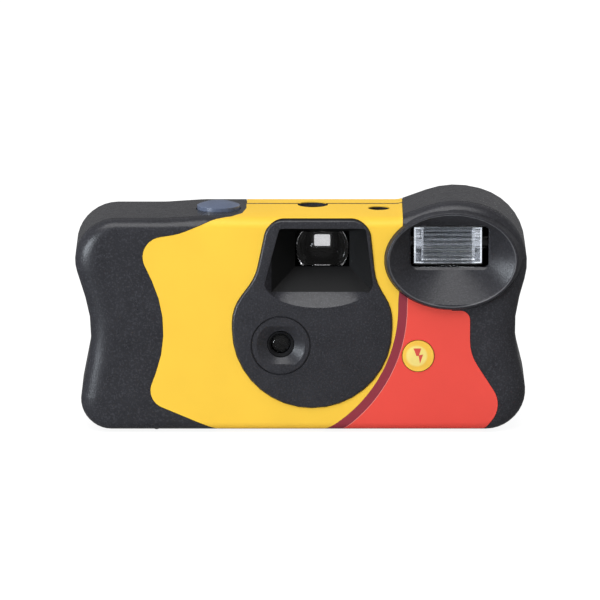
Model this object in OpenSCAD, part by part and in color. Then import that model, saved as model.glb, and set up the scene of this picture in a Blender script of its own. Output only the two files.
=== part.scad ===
/* [Body] */
// Width across the grips
body_w = 120; // [119:0.5:132]
// Height of the flat top above the base
body_h = 57.25; // [57:0.25:62.5]
// Height of the waist of the grips
waist_z = 27.6; // [23:0.2:29]
// Rise of the flash dome over the flat top
dome_rise = 2.9; // [2.6:0.1:5]
// Depth from the seam to the front face
front_d = 21.5; // [21.5:0.25:25]
// Depth from the seam to the back face
rear_d = 9.4; // [9.2:0.2:12]
// Wall of both covers
wall = 1.3; // [1.1:0.05:1.4]
// Rounding of the front face at the two ends, seen from the front
end_round = 6.4; // [4:0.2:6.6]
// Rounding of the front face at top and bottom, seen from the front
edge_round = 2.4; // [1.6:0.1:2.6]
// Depth over which the front face rounds into the sides
crown_d = 3.7; // [2.8:0.1:4]
// Thickness of the printed label
label_t = 0.25; // [0.15:0.05:0.35]
// Height of the nub under the film door
nub_h = 0.6; // [0.3:0.1:1]

/* [Lens panel] */
// Height of the panel over the front face
panel_proud = 0.6; // [0.4:0.1:1]
// Taking lens axis, right of the middle of the body
lens_x = -5.5; // [-6.5:0.25:-4.5]
// Taking lens axis, above the base
lens_z = 23.2; // [22.8:0.1:24]
// Middle of the finder, right of the middle of the body
finder_x = 5.5; // [5:0.1:6]
// Middle of the finder, above the base
finder_z = 47.6; // [47.4:0.1:47.8]

/* [Flash] */
// Height of the rim of the flash dish over the front face
pod_proud = 1.6; // [1.2:0.1:2.2]
// Width of the rim of the flash dish
dish_w = 33.6; // [32:0.2:35]
// Height of the rim of the flash dish
dish_h = 24.8; // [24:0.2:26]
// Width of the flash lens
flash_w = 18; // [16:0.5:19.5]
// Height of the flash lens
flash_h = 10.2; // [9:0.2:10.4]
// Diameter of the flash button
flash_button_d = 8.3; // [7.5:0.1:9]
// Travel of the flash button
flash_travel = 0.6; // [0.4:0.1:0.6]

/* [Winding and release] */
// Diameter of the shutter button
button_d = 11.3; // [10:0.1:11.6]
// Travel of the shutter button
button_travel = 1.3; // [1:0.1:1.4]
// Diameter of the thumbwheel
thumbwheel_d = 28; // [27:0.2:28.4]
// Number of grip notches round the thumbwheel
thumbwheel_notches = 44; // [36:1:52]
// Diameter of the counter window
window_d = 7.9; // [7:0.1:8.2]

/* [Hidden] */
$fn = 48;

// Clearances
run_gap = 0.05;
part_gap = 0.2;
loose_gap = 0.4;
eps = 0.01;
past = 1;

// Planes of the body
left = -body_w / 2;
right = body_w / 2;
eyepiece_rim = 0.5;
seam_y = (front_d + pod_proud - rear_d - eyepiece_rim) / 2;
front_y = seam_y - front_d;
back_y = seam_y + rear_d;
crown_y = front_y + crown_d;
rear_crown_d = 3.4;
rear_crown_y = back_y - rear_crown_d;
rear_end_round = 5;
rear_edge_round = 2.8;
in_front = front_y + wall;
in_back = back_y - wall;
in_top = body_h - wall;
panel_y = front_y - panel_proud;
rim_y = front_y - pod_proud;
arc_step = 10;
groove_w = 0.4;
groove_d = 0.4;

// Colours
black = [0.17, 0.17, 0.18];
dark = [0.1, 0.1, 0.11];
slate = [0.36, 0.4, 0.48];
yellow = [1, 0.8, 0.2];
steel = [0.7, 0.71, 0.73];
brass = [0.8, 0.65, 0.3];
clear = [0.85, 0.9, 0.95, 0.6];
ivory = [0.93, 0.92, 0.88];

// Corners of the body seen from the front, each [x, z, radius of its arc]
top_step = 0.65;
shoulder_z = body_h - top_step;
body_corners = [
    [left - 0.1, 0, 8],
    [right + 2.1, 0, 10.4],
    [right - 4.7, waist_z, 32],
    [right + 3.25, body_h - 1.5, 15.9],
    [right - 20, body_h + dome_rise + 2.25, 23],
    [right - 34.2, body_h, 5],
    [left + 34, body_h, 20],
    [left + 24, shoulder_z, 20],
    [left - 3.75, shoulder_z, 11],
    [left + 5.3, waist_z, 32]
];

// Flash dish and its pod
dish_x = right - 20.2;
dish_z = body_h - 11.2;
flash_x = right - 21.3;
flash_z = body_h - 8.4;
window_gap = 1.3;
window_gap_z = 0.4;
tab_rise = window_gap_z - 0.15;
flash_y = front_y + 5;
pod_base_y = crown_y;
pod_spread_x = 2;
pod_spread_z = 1.1;
pod_lip = 0.4;

// Lens panel: a round lower part under the squared hood of the finder
panel_r = 21.1;
panel_x = lens_x + 8.3;
panel_z = lens_z + 4.2;
hood_top = body_h - 0.45;
hood_left = finder_x - 14.4;
hood_right = finder_x + 12.3;
panel_corners = [
    [panel_x - panel_r, panel_z - panel_r, panel_r],
    [panel_x + panel_r, panel_z - panel_r, panel_r],
    [panel_x + panel_r, panel_z + 5.7, 12],
    [hood_right + 1.7, panel_z + 12.9, 14],
    [hood_right, hood_top, 5],
    [hood_left, hood_top, 5],
    [hood_left - 3.2, panel_z + 14.1, 14],
    [panel_x - panel_r, panel_z + 5.7, 12]
];
panel_round = 0.6;
scoop_x = finder_x - 1;
scoop_z = finder_z - 7.4;
scoop_a = 14.4;
scoop_b = 6.9;
hood_scoop_d = 2.5;
mouth_up = 6.8;
mouth_top_a = 11.3;
mouth_down = 10.4;
mouth_low_a = 13.4;
finder_w = 14.4;
finder_h = 9.6;
finder_lens_y = front_y + 8.1;
lens_recess_r = 6.4;
lens_recess_d = 1.8;
lens_flat = 10.3;
lens_groove_r = 8;
lens_groove_w = 0.45;
lens_hole_r = 3.6;

// Shutter button, counter window and ready light on the top
button_x = -22;
button_y = seam_y - 6.9;
button_r = button_d / 2;
button_gap = 0.3;
button_well_r = button_r + 1.75;
window_x = 3;
window_y = seam_y - 1.3;
ready_x = 20.5;
ready_y = seam_y - 6.6;
ready_d = 5.5;

// Flash button on the front
flash_button_x = right - 29.2;
flash_button_z = 20.3;
flash_button_gap = 0.2;

// Label outlines seen from the front, each corner [x, z, radius of its arc]
label_out = 3;
label_gap = 0.05;
label_edge = 0.12;
label_seam = 0.55;
label_step_z = dish_z - dish_h / 2 - pod_lip - 0.7;
front_label_corners = [
    [left + 45.1, -label_out, 0],
    [right - 14.2, -label_out, 0],
    [right - 6.4, 6.8, 7],
    [right - 15.4, 20.8, 12],
    [right - 15.4, label_step_z, 2.6],
    [dish_x, label_step_z, 0],
    [dish_x, dish_z, 0],
    [right - 33.2, dish_z + 4, 0],
    [right - 33.2, body_h + label_out, 0],
    [button_x + 2, body_h + label_out, 0],
    [button_x + 2, body_h + 0.9, 0],
    [button_x - 10.5, body_h - 4.2, 14],
    [left + 15.4, body_h - 6.1, 5.5],
    [left + 26.1, waist_z + 0.7, 32],
    [left + 18.6, 8.2, 5]
];
rear_label_corners = [
    [left + 44.5, -label_out, 0],
    [right - 14.2, -label_out, 0],
    [right - 7, 8, 6],
    [right - 14.5, waist_z, 30],
    [right - 11, body_h - 15, 8],
    [right - 33, body_h - 6, 5],
    [right - 33.2, body_h + label_out, 0],
    [button_x + button_well_r, body_h + label_out, 0],
    [button_x + button_well_r, body_h - 6, 5],
    [left + 35, body_h - 15, 6],
    [left + 30, waist_z, 30],
    [left + 17.6, 8.2, 5]
];

// Film and its cartridge
film_y = back_y - 3.8;
film_t = 0.2;
film_w = 35;
film_pitch = 4.75;
cartridge_can_r = 12.5;
cartridge_cap_r = 12.7;
cartridge_can_h = 47;
cartridge_wall = 0.4;
cartridge_x = left + 20.3;
cartridge_y = film_y - 11.2;
cartridge_z = wall + 0.9;
cartridge_top = cartridge_z + cartridge_can_h;
cartridge_cap_t = 1;
film_z = cartridge_z + cartridge_can_h / 2;
spool_r = 5.7;
spool_knob_r = 4.9;
spool_knob_h = 3.3;
mouth_l = 10.2;
mouth_t = 2.2;
mouth_slit = 0.5;

// Supply roll
roll_r = 8.6;
roll_x = 29.5;
roll_y = film_y - part_gap - roll_r;
roll_core_r = 4;
core_pin_r = 1.5;
chamber_t = 1;
supply_r = roll_r + 0.8;
cartridge_chamber_r = cartridge_cap_r + loose_gap;
supply_floor = film_z - film_w / 2 - 3.6;
supply_top = film_z + film_w / 2 + 0.1;
supply_bridge_z = supply_top + 0.2;
supply_bridge_t = 0.8;

// Film gate, light tunnel and deck of the main frame
gate_w = 36;
gate_h = 24;
gate_z = film_z - 0.7;
gate_t = 1;
gate_y = film_y - part_gap - gate_t;
plate_y = front_y + 5.5;
plate_t = 1.2;
plate_left = lens_x - 15.5;
plate_right = lens_x + 16.5;
plate_low = 13;
tunnel_hole = 7;
tunnel_t = 1;
sprocket_x = -17;
sprocket_teeth = 8;
sprocket_pitch_r = sprocket_teeth * film_pitch / (2 * PI);
sprocket_tip_r = sprocket_pitch_r + 0.85;
sprocket_t = 3;
sprocket_z = film_z + film_w / 2 - 2 - sprocket_t / 2;
sprocket_y = film_y - part_gap - sprocket_tip_r;
shaft_r = 1.5;
deck_z = sprocket_z + sprocket_t + 0.6;
deck_t = 1;
deck_top = deck_z + deck_t;
deck_left = cartridge_x + cartridge_chamber_r + chamber_t - 0.5;
finder_tube_t = 0.8;
finder_left = finder_x - finder_w / 2 - finder_tube_t;
funnel_left = finder_x - 14.4;
funnel_low = finder_z - 11.6;
finder_back = film_y - 0.6;

// Thumbwheel
ceiling_z = cartridge_top + part_gap;
ceiling_t = 0.8;
wheel_z = ceiling_z + ceiling_t + 0.4;
wheel_t = 3;
wheel_r = thumbwheel_d / 2;
wheel_hub_r = 6.4;
wheel_notch = 0.7;
wheel_slot_gap = 0.4;
scoop_r = 22;
scoop_back = 16;
drive_bar_w = 1.4;

// Counter dial
dial_x = -4.5;
dial_y = window_y - 2.8;
dial_r = 10;
dial_t = 1.2;
dial_teeth = 36;
dial_tooth = 0.6;
dial_z = in_top - 0.5 - dial_t;
dial_post_r = 1.4;

// Shutter release
button_top = body_h + 2.1;
button_seat = in_top - 0.3;
button_lug = 0.8;
stem_r = 2;
keeper_t = 0.8;
keeper_z = dial_z - 1 - keeper_t;
keeper_left = deck_left + 0.9;
keeper_right = dial_x - 3.6;
keeper_front = plate_y + 1.2;
keeper_back = sprocket_y + 4;
post_r = 1.2;
lever_x = button_x + 6.8;
lever_z = deck_top + 3.4;
lever_w = 2.4;
lever_t = 1.4;
trunnion_r = 1;
stem_bottom = lever_z + lever_t + part_gap + 0.2;
bracket_t = 1.2;
striker_x = -10.5;
striker_y = button_y - 3.6;
striker_t = 1.6;
striker_z = deck_top + part_gap;
striker_hub_r = 2.6;
striker_post_r = 1.4;
striker_reach_x = -5.5;
striker_reach_y = plate_y - 1 - striker_y;
blade_pivot_x = lens_x - 7.5;
blade_pivot_z = lens_z + 12.8;
blade_t = 0.3;
blade_y = plate_y - part_gap - blade_t;
blade_pin_r = 0.8;
blade_disc_r = 2.7;
tail_top = striker_z + striker_t;
tail_w = 1.8;

// Taking lens
aperture_t = 0.8;
aperture_y = plate_y - 2.5;
aperture_r = 1.3;
lens_r = 3.4;
lens_clear_r = 2.6;
lens_edge_t = 0.5;
lens_seat_r = lens_r + 0.1;
lens_rim_t = 0.9;
lens_rim_h = 1.4;

// Flash circuit and battery
board_y = front_y + 3.3;
board_t = 1.2;
board_left = 22;
board_right = right - 6.5;
board_low = 4;
board_top = 35.5;
board_back = board_y + board_t;
capacitor_r = 5;
capacitor_h = 24;
capacitor_x = right - 13.5;
battery_r = 5.2;
battery_l = 43.5;
battery_nub_r = 1.9;
battery_nub_l = 0.9;
battery_x = -24;
battery_y = in_front + 0.35 + battery_r;
battery_z = wall + 0.35 + battery_r;
contact_t = 0.4;
reflector_t = 0.4;
reflector_d = 6.5;
flash_lens_t = 1.4;
reflector_y = flash_y + flash_lens_t + part_gap;
tube_r = 1.5;
lamp_r = 2;
lamp_z = supply_bridge_z + supply_bridge_t + part_gap;
lamp_h = 4.6;

// Film door in the base
door_half = cartridge_cap_r + 0.5;
door_front = crown_y + 0.3;
door_back = rear_crown_y - 0.3;
door_gap = 0.2;
door_boss_r = 5;
hinge_r = wall / 2;
hinge_x = cartridge_x + door_half - hinge_r;
hinge_pin_r = 0.35;
hinge_pin_l = 0.8;
nub_r = 1.2;
nub_x = cartridge_x + 1.3;
nub_y = door_front + 1.3;

// Everything stands on the nub, so the base lies above the ground by its height
module on_base() {
    translate([0, 0, nub_h]) children();
}

// Turns a flat outline in x and z into a solid from y = from to y = to
module along_y(from, to) {
    translate([0, to, 0]) rotate([90, 0, 0]) linear_extrude(to - from) children();
}

module block(low, high) {
    translate(low) cube(high - low);
}

// Cylinder along y
module rod_y(x, z, r, from, to) {
    translate([x, to, z]) rotate([90, 0, 0]) cylinder(r = r, h = to - from);
}

// Cylinder along x
module rod_x(y, z, r, from, to) {
    translate([from, y, z]) rotate([0, 90, 0]) cylinder(r = r, h = to - from);
}

module post(x, y, r, low, high) {
    translate([x, y, low]) cylinder(r = r, h = high - low);
}

function unit(v) = v / norm(v);

// Points [x, z, outward x, outward z] along the arc that rounds corner b between a and c
function corner_arc(a, b, c) =
    let (
        p = [b[0], b[1]],
        u = unit([a[0], a[1]] - p),
        v = unit([c[0], c[1]] - p),
        half = acos(u * v) / 2,
        outward = cross(-u, v) > 0 ? 1 : -1,
        centre = p + unit(u + v) * b[2] / sin(half),
        start = p + u * b[2] / tan(half) - centre,
        turn = (180 - 2 * half) * outward,
        count = ceil(abs(turn) / arc_step)
    )
    [for (i = [0:count])
        let (
            s = turn * i / count,
            d = unit([start[0] * cos(s) - start[1] * sin(s), start[0] * sin(s) + start[1] * cos(s)])
        )
        [centre[0] + d[0] * b[2], centre[1] + d[1] * b[2], d[0] * outward, d[1] * outward]];

function rounded(corners) =
    let (n = len(corners))
    [for (i = [0:n - 1])
        each corners[i][2] == 0
            ? [[corners[i][0], corners[i][1], 0, 0]]
            : corner_arc(corners[(i + n - 1) % n], corners[i], corners[(i + 1) % n])];

function oval(x, z, a, b, count) =
    [for (i = [0:count - 1])
        let (s = 360 * i / count)
        [x + a * cos(s), z + b * sin(s), cos(s), sin(s)]];

function flat(outline) = [for (p = outline) [p[0], p[1]]];

function ring(outline, in_x, in_z, y) =
    [for (p = outline) [p[0] - in_x * p[2], y, p[1] - in_z * p[3]]];

// Solid skin through rings that run from back to front, capped round a middle point [x, z]
module loft(rings, middle) {
    n = len(rings[0]);
    last = len(rings) - 1;
    points = concat(
        [for (r = rings) each r],
        [[middle[0], rings[0][0][1], middle[1]], [middle[0], rings[last][0][1], middle[1]]]
    );
    sides = [
        for (k = [0:last - 1], i = [0:n - 1])
            let (a = k * n + i, b = k * n + (i + 1) % n)
                each [[a, b + n, b], [a, a + n, b + n]]
    ];
    back_cap = [for (i = [0:n - 1]) [(last + 1) * n, i, (i + 1) % n]];
    front_cap = [for (i = [0:n - 1]) [(last + 1) * n + 1, last * n + (i + 1) % n, last * n + i]];
    polyhedron(points, concat(sides, back_cap, front_cap));
}

body = rounded(body_corners);
body_middle = [0, body_h / 2];

// Front half of the body, shrunk by t, open ended at y = back
module front_form(t, back, step = 18) {
    loft(concat(
        [ring(body, t, t, back)],
        [for (a = [0:step:90])
            ring(body, t + end_round * (1 - cos(a)), t + edge_round * (1 - cos(a)),
                crown_y - (crown_d - t) * sin(a))]
    ), body_middle);
}

// Rear half of the body, shrunk by t, open ended at y = front
module rear_form(t, front, step = 18) {
    loft(concat(
        [for (a = [90:-step:0])
            ring(body, t + rear_end_round * (1 - cos(a)), t + rear_edge_round * (1 - cos(a)),
                rear_crown_y + (rear_crown_d - t) * sin(a))],
        [ring(body, t, t, front)]
    ), body_middle);
}

// Raised lens panel with a rounded edge, grown by t
module panel_form(t, back) {
    panel = rounded(panel_corners);
    loft(concat(
        [ring(panel, -t, -t, back)],
        [for (a = [0:30:90])
            ring(panel, panel_round * (1 - cos(a)) - t, panel_round * (1 - cos(a)) - t,
                panel_y + panel_round * (1 - sin(a)))]
    ), [panel_x, panel_z + 8]);
}

// Flash pod: an oval boss that spreads back into the dome, grown by t
module pod_form(t) {
    pod = oval(dish_x, dish_z, dish_w / 2 + pod_lip, dish_h / 2 + pod_lip, 72);
    loft([
        ring(pod, -pod_spread_x - t, -pod_spread_z - t, pod_base_y),
        ring(pod, -0.35 - t, -0.3 - t, rim_y + 0.6),
        ring(pod, -0.1 - t, -0.1 - t, rim_y + 0.15),
        ring(pod, 0.15 - t, 0.15 - t, rim_y)
    ], [dish_x, dish_z]);
}

// Outward directions shared by round and four-cornered rings, so that one can run into the other
per_quarter = 9;
facings = [for (q = [0:3], i = [0:per_quarter - 1]) 90 * q + 90 * (i + 0.5) / per_quarter];

function oval_ring(x, z, a, b, y) =
    [for (s = facings)
        let (k = norm([a * cos(s), b * sin(s)]))
        [x + a * a * cos(s) / k, y, z + b * b * sin(s) / k]];

// Corners from the upper right one round to the left, each rounded by r
function mouth_ring(corners, r, y) =
    [for (s = facings)
        let (c = corners[floor(s / 90)], in_x = r * sign(cos(s)), in_z = r * sign(sin(s)))
        [c[0] - in_x + r * cos(s), y, c[1] - in_z + r * sin(s)]];

function box_corners(x, z, w, h) = [
    [x + w / 2, z + h / 2], [x - w / 2, z + h / 2], [x - w / 2, z - h / 2], [x + w / 2, z - h / 2]
];

// Ring with two rounded upper corners [x, z] and a lower edge that may sag into half an oval
function hood_ring(upper, r, x, half_w, low, sag, y) =
    [for (s = facings)
        let (c = upper[s < 90 ? 0 : 1])
        s < 180
            ? [c[0] + r * (cos(s) - sign(cos(s))), y, c[1] + r * (sin(s) - 1)]
            : [x + half_w * cos(s), y, low + sag * sin(s)]];

// Hollow of the hood: an oval scoop below, then a sharp-edged funnel back to the finder lens; grown by t
module finder_hollow(t) {
    lens_top = finder_z + finder_h / 2 + t;
    lens_half = finder_w / 2 + t;
    top = finder_z + mouth_up + t;
    mouth_half = mouth_top_a + t;
    loft([
        hood_ring([[finder_x + lens_half, lens_top], [finder_x - lens_half, lens_top]], 0.4 + t,
            finder_x, lens_half, finder_z - finder_h / 2 - t, 0, finder_lens_y),
        hood_ring([[finder_x + mouth_half, top], [finder_x - mouth_half, top]], 0.8 + t,
            finder_x, mouth_low_a + t, finder_z - mouth_down - t, 0, panel_y + hood_scoop_d),
        hood_ring([[finder_x + mouth_half + 0.3, top + 0.2], [finder_x - mouth_half - 0.3, top + 0.2]],
            1 + t,
            scoop_x, scoop_a + t, scoop_z, scoop_b + t, panel_y - eps)
    ], [finder_x, finder_z]);
}

// Oval dish that narrows to the window of the flash; grown by t
module flash_hollow(t) {
    window = box_corners(flash_x + 0.4, flash_z, flash_w + 2 * window_gap + 2 * t,
        flash_h + 2 * window_gap_z + 2 * t);
    loft([
        mouth_ring(window, 1.2 + t, flash_y),
        mouth_ring(window, 1.2 + t, flash_y - 1),
        oval_ring(dish_x, dish_z, dish_w / 2 + t, dish_h / 2 + t, rim_y - eps)
    ], [flash_x, flash_z]);
}

module box_slab(x, z, w, h, y, t) {
    block([x - w / 2, y, z - h / 2], [x + w / 2, y + t, z + h / 2]);
}

module front_label_area(shrink) {
    along_y(front_y - label_out, seam_y + past)
        offset(delta = -shrink) polygon(flat(rounded(front_label_corners)));
}

module rear_label_area(shrink) {
    along_y(seam_y - past, back_y + label_out)
        offset(delta = -shrink) polygon(flat(rounded(rear_label_corners)));
}

// Bare part of the top round the shutter button, widening to the left and the front
module button_surround() {
    well = button_x + button_well_r;
    translate([0, 0, in_top]) linear_extrude(wall + past) offset(2) offset(delta = -2) polygon([
        [left, seam_y + past],
        [left, front_y],
        [button_x - 4.4, front_y],
        [button_x + 3.6, front_y + 3.1],
        [well - 1.1, button_y - 7.1],
        [well, button_y],
        [well, seam_y + past]
    ]);
}

module counter_window_hole(grow) {
    post(window_x, window_y, window_d / 2 + grow, dial_z + dial_t + 0.1, body_h + past);
}

module ready_hole(grow) {
    post(ready_x, ready_y, ready_d / 2 + grow, in_top - past, body_h + past);
}

// Cut for the film door through the base of both covers
module door_opening(grow) {
    block([cartridge_x - door_half - grow, door_front - grow, -past],
        [cartridge_x + door_half + grow, door_back + grow, wall + 2.6]);
    rod_y(hinge_x, hinge_r, hinge_pin_r + run_gap, door_front - hinge_pin_l - grow,
        door_back + hinge_pin_l + grow);
}

// Tongues of the rear cover, top and bottom, that slide under the wall of the front cover
tongue_l = 4;
tongue_root = 2.5;
tongue_w = 5;
tongue_t = 1;
module tongue(x, wall_z, up) {
    face = wall_z - up * part_gap;
    bar = up > 0 ? [face - tongue_t, face] : [face, face + tongue_t];
    root = up > 0 ? [face - tongue_t, wall_z + wall / 2] : [wall_z - wall / 2, face + tongue_t];
    block([x - tongue_w / 2, seam_y - tongue_l, bar[0]],
        [x + tongue_w / 2, seam_y + tongue_root, bar[1]]);
    block([x - tongue_w / 2, seam_y, root[0]], [x + tongue_w / 2, seam_y + tongue_root, root[1]]);
}

// Fine line round the body where the front face begins
module front_groove() {
    along_y(crown_y, crown_y + groove_w) difference() {
        offset(delta = past) polygon(flat(body));
        offset(delta = -groove_d) polygon(flat(body));
    }
}

// The part of a hollow's wall that stands behind the front face
module behind_front() {
    intersection() {
        children();
        block([left, in_front - 0.3, 0], [right, seam_y, 2 * body_h]);
    }
}

// Strip along the seam that the label leaves bare
module seam_band() {
    block([left - past, seam_y - label_seam + label_edge, -past],
        [right + past, seam_y + label_seam - label_edge, 2 * body_h]);
}

module front_cover() {
    color(black) on_base() difference() {
        union() {
            difference() {
                union() {
                    difference() {
                        front_form(0, seam_y);
                        front_groove();
                        difference() {
                            front_label_area(0);
                            front_form(label_t + label_gap, seam_y + past);
                            button_surround();
                            seam_band();
                        }
                    }
                    panel_form(0, crown_y - 0.5);
                    pod_form(0);
                }
                front_form(wall, seam_y + past, 30);
            }
            behind_front() finder_hollow(wall);
            behind_front() flash_hollow(wall);
        }
        finder_hollow(0);
        flash_hollow(0);
        lens_recess();
        rod_y(flash_button_x, flash_button_z, flash_button_d / 2 + flash_button_gap,
            front_y - past, in_front + past);
        post(button_x, button_y, button_r + button_gap, in_top - past, body_h + past);
        counter_window_hole(0);
        ready_hole(0);
        door_opening(door_gap);
    }
}

// Fine ring groove, and the cone with its two flats that leads in to the lens
module lens_recess() {
    difference() {
        rod_y(lens_x, lens_z, lens_groove_r, panel_y - past, panel_y + 0.4);
        rod_y(lens_x, lens_z, lens_groove_r - lens_groove_w, panel_y - 2 * past, panel_y + past);
    }
    intersection() {
        translate([lens_x, panel_y - eps, lens_z]) rotate([-90, 0, 0])
            cylinder(r1 = lens_recess_r + eps, r2 = lens_hole_r, h = lens_recess_d + eps);
        block([lens_x - 10, panel_y - past, lens_z - lens_flat / 2],
            [lens_x + 10, in_front + past, lens_z + lens_flat / 2]);
    }
    rod_y(lens_x, lens_z, lens_hole_r, panel_y, in_front + past);
}

module eyepiece_window(w, h, r, from, to) {
    along_y(from, to) translate([finder_x, finder_z]) offset(r, $fn = 24)
        square([w - 2 * r, h - 2 * r], center = true);
}

eyepiece_w = 9;
eyepiece_h = 7;
module rear_cover() {
    rib_z = gate_h / 2 + 2.6;
    color(black) on_base() difference() {
        union() {
            difference() {
                rear_form(0, seam_y);
                rear_form(wall, seam_y - past, 30);
                difference() {
                    rear_label_area(0);
                    rear_form(label_t + label_gap, seam_y - past);
                    seam_band();
                }
            }
            intersection() {
                rear_form(wall / 2, seam_y - past, 30);
                union() {
                    post(cartridge_x, back_y + scoop_back, scoop_r + wall, wheel_z - 1.1, shoulder_z);
                    for (s = [-1, 1])
                        block([lens_x - gate_w / 2, film_y + film_t + part_gap, gate_z + s * rib_z - 0.6],
                            [lens_x + gate_w / 2, back_y, gate_z + s * rib_z + 0.6]);
                    eyepiece_window(eyepiece_w + 3, eyepiece_h + 3, 1, in_back - 1.6, back_y);
                }
            }
            eyepiece_window(eyepiece_w + 4.4, eyepiece_h + 4, 2, in_back, back_y + eyepiece_rim);
            tongue(left + 20, shoulder_z - wall, 1);
            tongue(12, in_top, 1);
            tongue(-14, wall, -1);
            tongue(16, wall, -1);
        }
        translate([0, 0, wheel_z - wheel_slot_gap]) {
            translate([cartridge_x, back_y + scoop_back, 0]) cylinder(r = scoop_r,
                h = wheel_t + 2 * wheel_slot_gap);
            translate([cartridge_x, cartridge_y, 0])
                cylinder(r = wheel_r + wheel_slot_gap, h = wheel_t + 2 * wheel_slot_gap);
        }
        eyepiece_window(eyepiece_w - 1.2, eyepiece_h - 1.2, 0.6, in_back - 2, back_y + past);
        eyepiece_window(eyepiece_w + 0.2, eyepiece_h + 0.2, 0.6, in_back - 2, back_y - 0.6);
        counter_window_hole(0);
        door_opening(door_gap);
    }
}

module front_label() {
    color(yellow) on_base() difference() {
        intersection() {
            front_form(0, seam_y - label_seam);
            front_label_area(label_edge);
        }
        front_form(label_t, seam_y + past);
        panel_form(label_edge, crown_y);
        pod_form(label_edge);
        rod_y(flash_button_x, flash_button_z, flash_button_d / 2 + flash_button_gap, front_y - past,
            crown_y);
        button_surround();
        counter_window_hole(label_edge);
        ready_hole(label_edge);
    }
}

module rear_label() {
    color(yellow) on_base() difference() {
        intersection() {
            rear_form(0, seam_y + label_seam);
            rear_label_area(label_edge);
        }
        rear_form(label_t, seam_y - past);
        eyepiece_window(eyepiece_w + 4.8, eyepiece_h + 4.4, 2.2, rear_crown_y, back_y + past);
        counter_window_hole(label_edge);
    }
}

module film_door() {
    color(black) on_base() {
        along_y(door_front, door_back)
            intersection() {
                difference() {
                    polygon(flat(body));
                    offset(delta = -wall) polygon(flat(body));
                }
                translate([cartridge_x - door_half, -past])
                    square([hinge_x - cartridge_x + door_half, wall + 2.6 + past]);
            }
        rod_y(hinge_x, hinge_r, hinge_r, door_front, door_back);
        rod_y(hinge_x, hinge_r, hinge_pin_r, door_front - hinge_pin_l, door_back + hinge_pin_l);
        post(cartridge_x, cartridge_y, door_boss_r, wall - eps, cartridge_z - part_gap);
        difference() {
            translate([nub_x, nub_y, nub_r - nub_h]) sphere(r = nub_r);
            block([nub_x - 2 * nub_r, nub_y - 2 * nub_r, wall / 2],
                [nub_x + 2 * nub_r, nub_y + 2 * nub_r, 4]);
        }
    }
}

// Half tube that holds the film, open towards the back
module film_chamber(x, y, r, low, high, back) {
    difference() {
        post(x, y, r + chamber_t, low, high);
        post(x, y, r, low - past, high + past);
        block([x - 2 * r, back, low - past], [x + 2 * r, back + 4 * r, high + past]);
    }
}

module light_tunnel(t) {
    reach = t > 0 ? 0 : past;
    hull() {
        box_slab(lens_x, gate_z, gate_w + 2 * t, gate_h + 2 * t, gate_y + reach, eps);
        box_slab(lens_x, lens_z, tunnel_hole + 2 * t, tunnel_hole + 2 * t, plate_y + plate_t - reach,
            eps);
    }
}

module lever_bracket(y) {
    difference() {
        block([lever_x - 1.6, y, deck_top - eps], [lever_x + 1.6, y + bracket_t, lever_z + 1.8]);
        rod_y(lever_x, lever_z, trunnion_r + run_gap, y - past, y + bracket_t + past);
    }
}

bracket_front = button_y - lever_w / 2 - part_gap - bracket_t;
bracket_back = button_y + lever_w / 2 + part_gap;

module main_frame() {
    gate_left = cartridge_x + 13;
    gate_right = roll_x - 6;
    chamber_low = 2.8;
    color(dark) on_base() difference() {
        union() {
            film_chamber(cartridge_x, cartridge_y, cartridge_chamber_r, chamber_low,
                ceiling_z + ceiling_t,
                cartridge_y + 7);
            difference() {
                post(cartridge_x, cartridge_y, cartridge_chamber_r + eps, ceiling_z,
                    ceiling_z + ceiling_t);
                block([cartridge_x - 20, cartridge_y + 7, 0], [cartridge_x + 20, back_y, body_h]);
            }
            film_chamber(roll_x, roll_y, supply_r, supply_floor - 1, supply_top, gate_y + 0.6);
            difference() {
                post(roll_x, roll_y, supply_r + eps, supply_floor - 1, supply_floor);
                block([roll_x - 20, gate_y + 0.6, 0], [roll_x + 20, back_y, body_h]);
            }
            block([roll_x - supply_r - chamber_t + 0.3, roll_y - 3, supply_bridge_z - 0.2 - eps],
                [roll_x + supply_r + chamber_t - 0.3, roll_y + 3, supply_bridge_z + supply_bridge_t]);
            block([gate_left, gate_y, film_z - film_w / 2 - 1.5],
                [gate_right, gate_y + gate_t, deck_top]);
            block([plate_left, plate_y, plate_low], [funnel_left, plate_y + plate_t, deck_top]);
            block([plate_left, plate_y, plate_low], [plate_right, plate_y + plate_t, funnel_low]);
            block([deck_left, plate_y, deck_z], [funnel_left, gate_y + gate_t, deck_top]);
            block([deck_left, finder_lens_y + part_gap, deck_z],
                [finder_left + eps, gate_y + gate_t, deck_top]);
            block([sprocket_x - 4, sprocket_y - 3, sprocket_z - 1.8],
                [sprocket_x + 4, gate_y + eps, sprocket_z - 0.6]);
            light_tunnel(tunnel_t);
            finder_tube();
            lever_bracket(bracket_front);
            lever_bracket(bracket_back);
            for (p = keeper_posts) post(p[0], p[1], post_r, deck_top - eps, keeper_z);
            post(dial_x, dial_y, dial_post_r, deck_top - eps, dial_z + dial_t);
            post(dial_x, dial_y, dial_post_r + 1, deck_top - eps, dial_z - part_gap);
            post(striker_x, striker_y, striker_post_r, deck_top - eps, keeper_z);
            rod_y(blade_pivot_x, blade_pivot_z, blade_pin_r, aperture_y + 0.2, plate_y + eps);
        }
        light_tunnel(0);
        post(cartridge_x, cartridge_y, wheel_hub_r + run_gap, ceiling_z - past,
            ceiling_z + ceiling_t + past);
        post(roll_x, roll_y, core_pin_r + run_gap, supply_floor - 1 - past, supply_bridge_z + 3);
        post(sprocket_x, sprocket_y, shaft_r + run_gap, sprocket_z - 3, deck_top + past);
        post(sprocket_x, sprocket_y, sprocket_tip_r + part_gap, sprocket_z - part_gap,
            sprocket_z + sprocket_t + part_gap);
    }
}

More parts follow.
